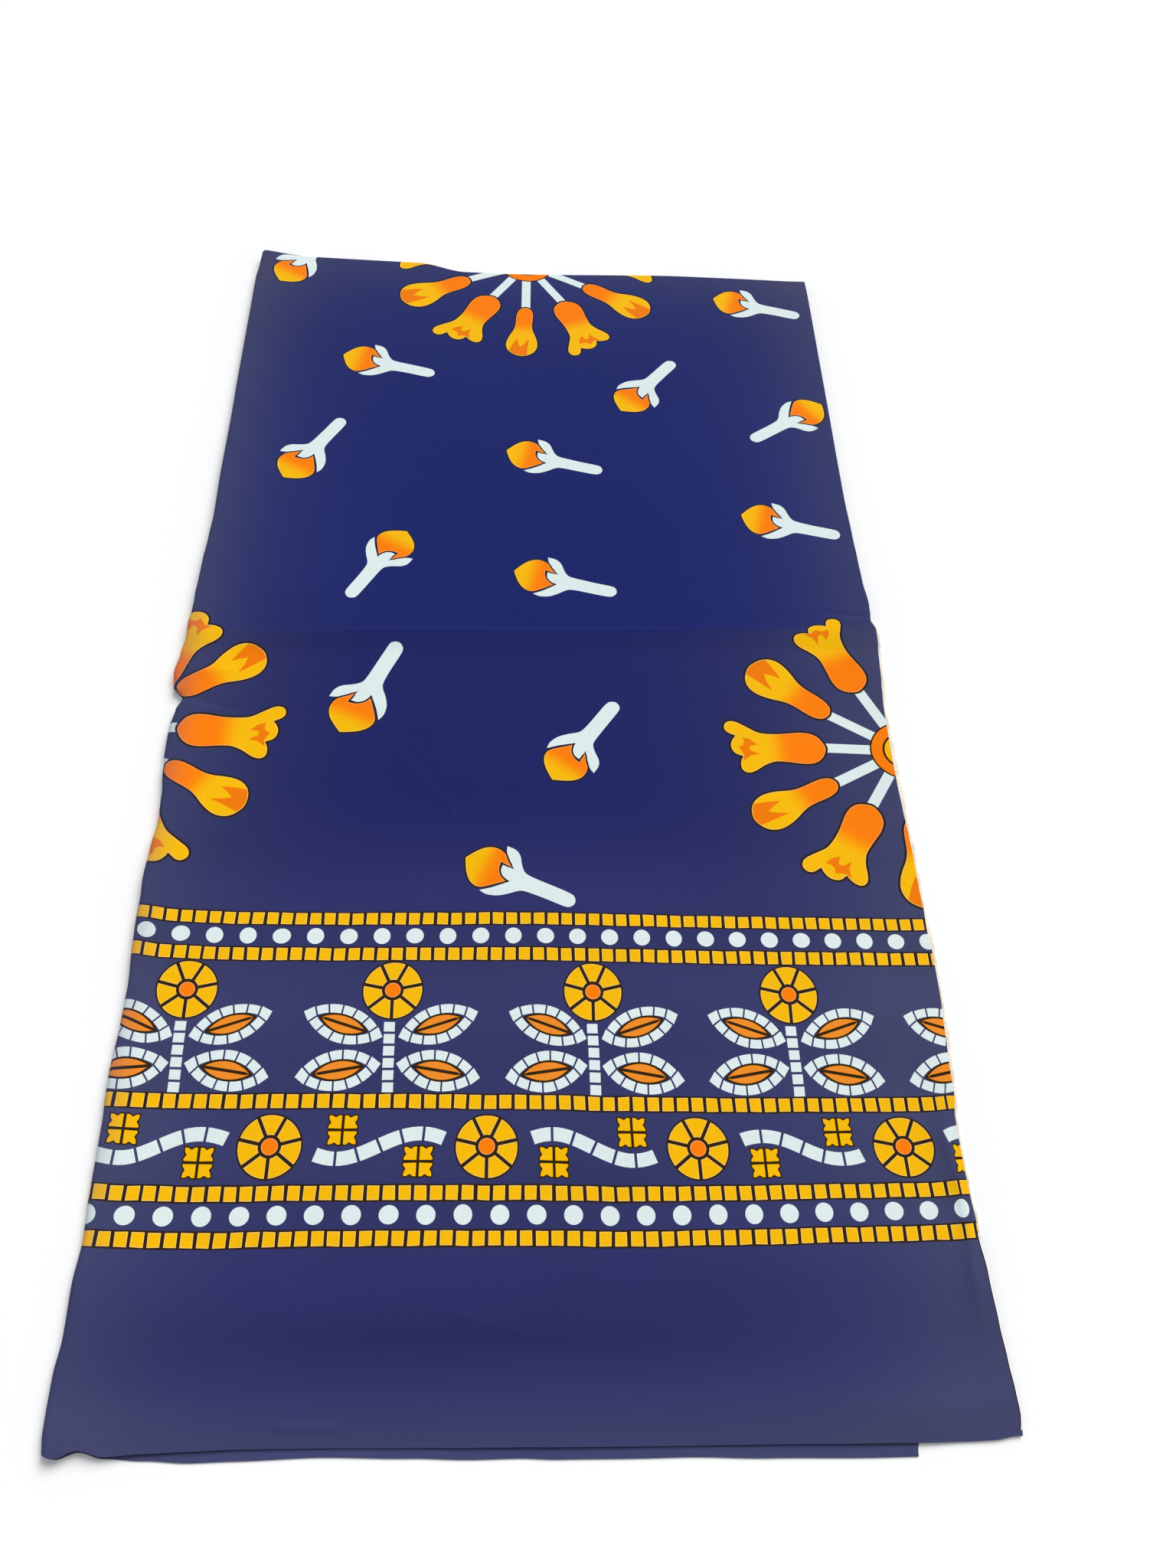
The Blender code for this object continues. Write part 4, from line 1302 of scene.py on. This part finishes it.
def selvedge_grid(y, inner, outer):
    """Loops of points round the selvedge, one for each place along: its upper side, which lifts towards the
    edge by the cube of the share of the way there times a sine along it, then its lower side back, a wall
    below."""
    share = np.linspace(0, 1, SELVEDGE_POINTS)
    x = inner[:, None] + (outer - inner)[:, None] * share
    most, length = SELVEDGE_LIFT
    lift = most * share**3 * (0.5 + 0.5 * np.sin(y / length + 2 * np.sin(y / 0.019)))[:, None]
    top = ground(x, y[:, None]) + SELVEDGE_TOP + lift
    upper = np.stack([x, np.repeat(y[:, None], SELVEDGE_POINTS, 1), top], axis=-1)
    lower = upper - (0, 0, SELVEDGE_WALL)
    return np.concatenate([upper, lower[:, ::-1]], axis=1)


# ---------------------------------------------------------------- materials


# A Mix node that multiplies one colour by another
TONED = {"data_type": "RGBA", "blend_type": "MULTIPLY", "Factor": 1.0}


def add(tree, kind, settings=None, **links):
    """Adds a node, sets its properties and unlinked sockets, and links the rest: a socket is named by its
    words with _ between them, or by i and its number."""
    node = tree.nodes.new(kind)
    for key, value in (settings or {}).items():
        if isinstance(key, str) and hasattr(node, key):
            setattr(node, key, value)
        else:
            node.inputs[key].default_value = value
    for key, source in links.items():
        numbered = key[0] == "i" and key[1:].isdigit()
        tree.links.new(source, node.inputs[int(key[1:]) if numbered else key.replace("_", " ")])
    return node


def new_material(name):
    """A material with an output node alone, as itself, its tree, that node and the Object coordinates."""
    material = bpy.data.materials.new(name)
    material.use_nodes = True
    tree = material.node_tree
    tree.nodes.clear()
    place = add(tree, "ShaderNodeTexCoord").outputs["Object"]
    return material, tree, add(tree, "ShaderNodeOutputMaterial"), place


def cotton_material(name):
    """Plain-woven cotton sheeting, printed and calendered: matt, with a faint sheen at a low angle. Threads
    of uneven thickness run both ways and vary the colour by a few parts in a hundred. The real threads lie
    0.4 mm apart, too fine to show, so these streaks are drawn about 1 mm wide."""
    material, tree, out, place = new_material(name)
    colour = add(tree, "ShaderNodeAttribute", {"attribute_name": "print"}).outputs["Color"]
    streaks = []
    thread = {"Scale": 1.0, "Detail": 2.0, "Roughness": 0.6}
    for scale in ((900.0, 26.0, 40.0), (26.0, 900.0, 40.0)):
        stretched = add(tree, "ShaderNodeMapping", {"Scale": scale}, Vector=place).outputs[0]
        streaks.append(add(tree, "ShaderNodeTexNoise", thread, Vector=stretched).outputs[0])
    weave = add(tree, "ShaderNodeMath", {"operation": "ADD"}, i0=streaks[0], i1=streaks[1]).outputs[0]
    patches = add(tree, "ShaderNodeTexNoise", {"Scale": 14.0, "Detail": 3.0}, Vector=place).outputs[0]
    fine = {"Scale": 620.0, "Detail": 2.0, "Roughness": 0.7}
    grain = add(tree, "ShaderNodeTexNoise", fine, Vector=place).outputs[0]
    tone = add(tree, "ShaderNodeMath", {"operation": "MULTIPLY_ADD", 1: 0.08, 2: 0.79}, i0=weave).outputs[0]
    tone = add(tree, "ShaderNodeMath", {"operation": "MULTIPLY_ADD", 1: 0.10}, i0=patches, i2=tone).outputs[0]
    tone = add(tree, "ShaderNodeMath", {"operation": "MULTIPLY_ADD", 1: 0.16}, i0=grain, i2=tone).outputs[0]
    toned = add(tree, "ShaderNodeMix", TONED, i6=colour, i7=tone)
    bump = add(tree, "ShaderNodeBump", {"Strength": 0.2, "Distance": 0.0004}, Height=weave).outputs[0]
    shader = add(
        tree,
        "ShaderNodeBsdfPrincipled",
        {
            "Roughness": 0.86,
            "Specular IOR Level": 0.08,
            "Sheen Weight": 0.05,
            "Sheen Roughness": 0.45,
            "Sheen Tint": (0.75, 0.78, 0.95, 1.0),
        },
        Base_Color=toned.outputs[2],
        Normal=bump,
    )
    tree.links.new(shader.outputs[0], out.inputs[0])
    return material


def selvedge_material(name, colours):
    """The loom's unprinted edge: bleached cotton in its natural cream, with a cord-like rib across it each
    millimetre or so and a little dye that has crept in."""
    material, tree, out, place = new_material(name)
    stretched = add(tree, "ShaderNodeMapping", {"Scale": (120.0, 620.0, 120.0)}, Vector=place).outputs[0]
    ribs = add(tree, "ShaderNodeTexNoise", {"Scale": 1.0, "Detail": 2.0}, Vector=stretched).outputs[0]
    crept = add(tree, "ShaderNodeTexNoise", {"Scale": 60.0, "Detail": 2.0}, Vector=place).outputs[0]
    ends = {"From Min": 0.56, "From Max": 0.74, "To Min": 0.0, "To Max": 0.55}
    amount = add(tree, "ShaderNodeMapRange", ends, Value=crept).outputs[0]
    shades = {6: (*rgb(colours.selvedge), 1), 7: (*rgb(colours.selvedge_dye), 1)}
    mixed = add(tree, "ShaderNodeMix", {"data_type": "RGBA", **shades}, i0=amount)
    tone = add(tree, "ShaderNodeMath", {"operation": "MULTIPLY_ADD", 1: 0.4, 2: 0.78}, i0=ribs).outputs[0]
    toned = add(tree, "ShaderNodeMix", TONED, i6=mixed.outputs[2], i7=tone)
    bump = add(tree, "ShaderNodeBump", {"Strength": 0.6, "Distance": 0.0006}, Height=ribs).outputs[0]
    shader = add(
        tree,
        "ShaderNodeBsdfPrincipled",
        {"Roughness": 0.9, "Specular IOR Level": 0.2, "Sheen Weight": 0.1},
        Base_Color=toned.outputs[2],
        Normal=bump,
    )
    tree.links.new(shader.outputs[0], out.inputs[0])
    return material


# ---------------------------------------------------------------- the add-on


def colour_of(name, default):
    """A property that holds a colour as sRGB hex."""
    return StringProperty(name=name, description=f"{name}, as sRGB hex", default=default)


class KangaColours(bpy.types.PropertyGroup):
    """The dyes of the print, and the painted light and shade on its ground, as sRGB hex"""

    # The three navy grounds differ by painted light: deeper past the crease line, duller over the border
    navy: colour_of("Navy ground past the crease line", "#182366")
    navy_middle: colour_of("Navy ground before the crease line", "#1c2260")
    navy_near: colour_of("Navy ground of the border", "#2c2e64")
    # The pale navy that the ground turns to along the sides and ends is painted sheen, with some wear; it also
    # pales the back
    navy_sheen_and_wear: colour_of("Navy ground worn pale, along the sides and ends", "#3d4066")
    # The cut edge's colour also paints the dark shadow line along the right edge near the corner
    cut_edge_and_edge_shadow: colour_of("Cut edge", "#2a2d4e")
    yellow: colour_of("Yellow", "#f3b702")
    yellow_rim: colour_of("Yellow where the print is thin, at its rim", "#f0c878")
    orange: colour_of("Orange", "#f87c00")
    orange_rim: colour_of("Orange where the print is thin, at its rim", "#f0a070")
    leaf_orange: colour_of("Orange of the leaves", "#eb8a27")
    ember: colour_of("Deep orange of the zigzags and flames", "#ec7900")
    white: colour_of("White", "#dbe7e7")
    outline: colour_of("Dark brown of the outlines", "#30200a")
    selvedge: colour_of("Selvedge cream", "#fff7e8")
    selvedge_dye: colour_of("Dye that crept into the selvedge", "#d9a878")


class KangaSizes(bpy.types.PropertyGroup):
    """How fine the sheets' meshes are"""

    spacing: FloatProperty(
        name="Mesh spacing",
        description="Space between the sheet's points, in millimetres",
        default=6.6,
        min=2.0,
    )
    under_spacing: FloatProperty(
        name="Hidden mesh spacing",
        description="The same for the hidden leaves, in millimetres",
        default=9.0,
        min=2.0,
    )
    selvedge_rows: IntProperty(
        name="Selvedge rows", description="Rows of points along the selvedge", default=900, min=10
    )


class KangaStage(bpy.types.PropertyGroup):
    """The camera's height, the floor and the lights"""

    camera_height: FloatProperty(
        name="Camera height", description="Height of the camera over the cloth", default=0.783, unit="LENGTH"
    )
    floor: colour_of("Floor", "#fbfbfb")
    sky: FloatProperty(name="Sky strength", description="Strength of the even light", default=0.47, min=0.0)
    key: FloatProperty(
        name="Key light",
        description="Strength of the soft light from behind at the right",
        default=2.55,
        min=0.0,
    )


def cotton():
    """The one cotton material that all the printed sheets share, made the first time that it is asked for."""
    return bpy.data.materials.get("printed_cotton_sheeting") or cotton_material("printed_cotton_sheeting")


def finish_piece(piece, node):
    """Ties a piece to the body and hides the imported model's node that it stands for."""
    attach(piece, "root")
    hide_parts(node)


class KANGA_OT_face_leaf(bpy.types.Operator):
    """Lays the printed face of the cloth, round its two folds"""

    bl_idname = "kanga.face_leaf"
    bl_label = "Face Leaf"

    def execute(self, context):
        """The face outline, cut from the print and laid by lay_face. Flat, it is the laid width and length
        and one more arc of a fold each way."""
        sizes, colours = context.scene.kanga_sizes, context.scene.kanga_colours
        design = full_print()
        add_bare_edge(design)
        extra = np.concatenate([fold_points(), crease_points()])
        outline, spacing = face_outline(), sizes.spacing
        piece = make_sheet(
            "printed_face_leaf", outline, design, lay_face, True, spacing, extra, colours, cotton()
        )
        finish_piece(piece, "top_leaf")
        return {"FINISHED"}


class KANGA_OT_lower_leaf(bpy.types.Operator):
    """Lays the other half of the width below the face, its printed side down"""

    bl_idname = "kanga.lower_leaf"
    bl_label = "Lower Leaf"

    def execute(self, context):
        """The lower outline, cut from the print and laid by lay_lower. Flat, it is the laid width and
        length."""
        sizes, colours = context.scene.kanga_sizes, context.scene.kanga_colours
        outline, design = lower_outline(), full_print()
        spacing, none = sizes.under_spacing, np.zeros((0, 2))
        piece = make_sheet(
            "printed_lower_leaf", outline, design, lay_lower, False, spacing, none, colours, cotton()
        )
        finish_piece(piece, "lower_leaf")
        return {"FINISHED"}


class KANGA_OT_turned_under_end(bpy.types.Operator):
    """Lays the end of the cloth that is turned under, folded in half, its printed side out"""

    bl_idname = "kanga.turned_under_end"
    bl_label = "Turned Under End"

    def execute(self, context):
        """The hidden outline, opened out, cut from the print's mirror image and laid by lay_under, with
        closer places on its own fold. Flat, it is twice its half width, from the crease line to its far
        edge."""
        sizes, colours = context.scene.kanga_sizes, context.scene.kanga_colours
        design = full_print()
        design.outlines = [o * (-1, 1) + (0.0, CREASE_AT_LEFT / MM) for o in design.outlines]
        half = LAID_WIDTH - UNDER_LEFT_INSET - UNDER_RIGHT_INSET - UNDER_SIDE_SLACK
        outline, far = under_outline(half)
        arc = np.linspace(-0.55, 0.55, 9) * UNDER_ROLL_ARC
        rows = spread(CREASE_AT_LEFT + 0.004, far - 0.002, HIDDEN_STEP)
        extra = np.stack(np.meshgrid(arc, rows), axis=-1).reshape(-1, 2) / MM
        spacing = sizes.under_spacing
        piece = make_sheet(
            "printed_turned_under_end", outline, design, lay_under, True, spacing, extra, colours, cotton()
        )
        finish_piece(piece, "turned_under_end")
        return {"FINISHED"}


class KANGA_OT_selvedge(bpy.types.Operator):
    """Lays the woven, unprinted edge that shows past the face at the right, with its frayed threads"""

    bl_idname = "kanga.selvedge"
    bl_label = "Selvedge"

    def execute(self, context):
        """Skins the grid with a face between each two loops, and closes both ends. Its area is its mean
        width times its length."""
        sizes, colours = context.scene.kanga_sizes, context.scene.kanga_colours
        rows = sizes.selvedge_rows
        y = np.linspace(*SELVEDGE_SPAN, rows)
        inner, outer = selvedge_sides(y)
        grid = selvedge_grid(y, inner, outer)
        columns = grid.shape[1]
        row, column = np.meshgrid(np.arange(rows - 1) * columns, np.arange(columns), indexing="ij")
        here, after = row + column, row + (column + 1) % columns
        faces = np.stack([here, after, after + columns, here + columns], -1)
        caps = [tuple(range(columns))[::-1], tuple(range((rows - 1) * columns, rows * columns))]
        mesh = bpy.data.meshes.new("woven_selvedge")
        points = to_world(grid.reshape(-1, 3))
        mesh.from_pydata(points.tolist(), [], faces.reshape(-1, 4).tolist() + caps)
        mesh.shade_smooth()
        mesh.materials.append(selvedge_material("unprinted_cotton_selvedge", colours))
        piece = bpy.data.objects.new("woven_selvedge", mesh)
        context.scene.collection.objects.link(piece)
        finish_piece(piece, "selvedge")
        return {"FINISHED"}


class KANGA_OT_stage(bpy.types.Operator):
    """Sets the camera, the lights and a plain floor"""

    bl_idname = "kanga.stage"
    bl_label = "Stage"

    def execute(self, context):
        """The camera looks along CAMERA_AHEAD, its up side square to that and to CAMERA_RIGHT. The light
        shines from its place towards the middle of the frame."""
        scene, stage = context.scene, context.scene.kanga_stage
        camera = bpy.data.objects.new("camera", bpy.data.cameras.new("camera"))
        camera.data.sensor_width, camera.data.lens = CAMERA_SENSOR, CAMERA_LENS
        camera.data.clip_start, camera.data.clip_end = CAMERA_CLIPS
        ahead = Vector(CAMERA_AHEAD).normalized()
        up = Vector(CAMERA_RIGHT).cross(ahead).normalized()
        turn = Matrix((ahead.cross(up), up, -ahead)).transposed().to_4x4()
        place = to_world((*CAMERA_PLACE, stage.camera_height))
        camera.matrix_world = Matrix.Translation(Vector(place)) @ turn
        scene.collection.objects.link(camera)
        scene.camera = camera

        floor = bpy.data.meshes.new("floor")
        corners = box_outline(-FLOOR_HALF, -FLOOR_HALF, FLOOR_HALF, FLOOR_HALF)
        floor.from_pydata([(x, y, -FLOOR_DROP) for x, y in corners], [], [(0, 1, 2, 3)])
        material = bpy.data.materials.new("pale_floor")
        material.use_nodes = True
        shader = material.node_tree.nodes["Principled BSDF"]
        shader.inputs["Base Color"].default_value = (*rgb(stage.floor), 1)
        shader.inputs["Roughness"].default_value = 1.0
        shader.inputs["Specular IOR Level"].default_value = 0.0
        floor.materials.append(material)
        piece = bpy.data.objects.new("floor", floor)
        scene.collection.objects.link(piece)

        world = bpy.data.worlds.new("studio")
        world.use_nodes = True
        world.node_tree.nodes["Background"].inputs["Color"].default_value = SKY_COLOUR
        world.node_tree.nodes["Background"].inputs["Strength"].default_value = stage.sky
        scene.world = world
        light = bpy.data.lights.new("softbox", "SUN")
        light.energy, light.angle = stage.key, math.radians(SOFTBOX_ANGLE)
        lamp = bpy.data.objects.new("softbox", light)
        lamp.location = SOFTBOX_PLACE
        lamp.rotation_mode = "QUATERNION"
        lamp.rotation_quaternion = (-lamp.location).to_track_quat("-Z", "Y")
        scene.collection.objects.link(lamp)
        scene.view_settings.view_transform = "Standard"
        return {"FINISHED"}


class KANGA_PT_panel(bpy.types.Panel):
    """Lists the cloth's pieces in the order in which they are built"""

    bl_idname = "KANGA_PT_panel"
    bl_label = "Kanga Wrap Cloth"
    bl_space_type = "VIEW_3D"
    bl_region_type = "UI"
    bl_category = "Kanga"

    def draw(self, context):
        """A button for each operator, and a box for each group of settings."""
        for operator in OPERATORS:
            self.layout.operator(operator.bl_idname)
        for group in (context.scene.kanga_sizes, context.scene.kanga_colours, context.scene.kanga_stage):
            box = self.layout.box()
            for name in group.__annotations__:
                box.prop(group, name)


OPERATORS = (
    KANGA_OT_turned_under_end,
    KANGA_OT_lower_leaf,
    KANGA_OT_selvedge,
    KANGA_OT_face_leaf,
    KANGA_OT_stage,
)
GROUPS = {"kanga_colours": KangaColours, "kanga_sizes": KangaSizes, "kanga_stage": KangaStage}


def register():
    """Registers the classes and gives each scene its settings."""
    for item in (*GROUPS.values(), *OPERATORS, KANGA_PT_panel):
        bpy.utils.register_class(item)
    for name, group in GROUPS.items():
        setattr(bpy.types.Scene, name, PointerProperty(type=group))


def unregister():
    """Takes both away again."""
    for name in GROUPS:
        delattr(bpy.types.Scene, name)
    for item in reversed((*GROUPS.values(), *OPERATORS, KANGA_PT_panel)):
        bpy.utils.unregister_class(item)


def main():
    """Builds the pieces from the floor up, then the stage."""
    register()
    bpy.ops.kanga.turned_under_end()
    bpy.ops.kanga.lower_leaf()
    bpy.ops.kanga.selvedge()
    bpy.ops.kanga.face_leaf()
    bpy.ops.kanga.stage()


if __name__ == "__main__":
    main()
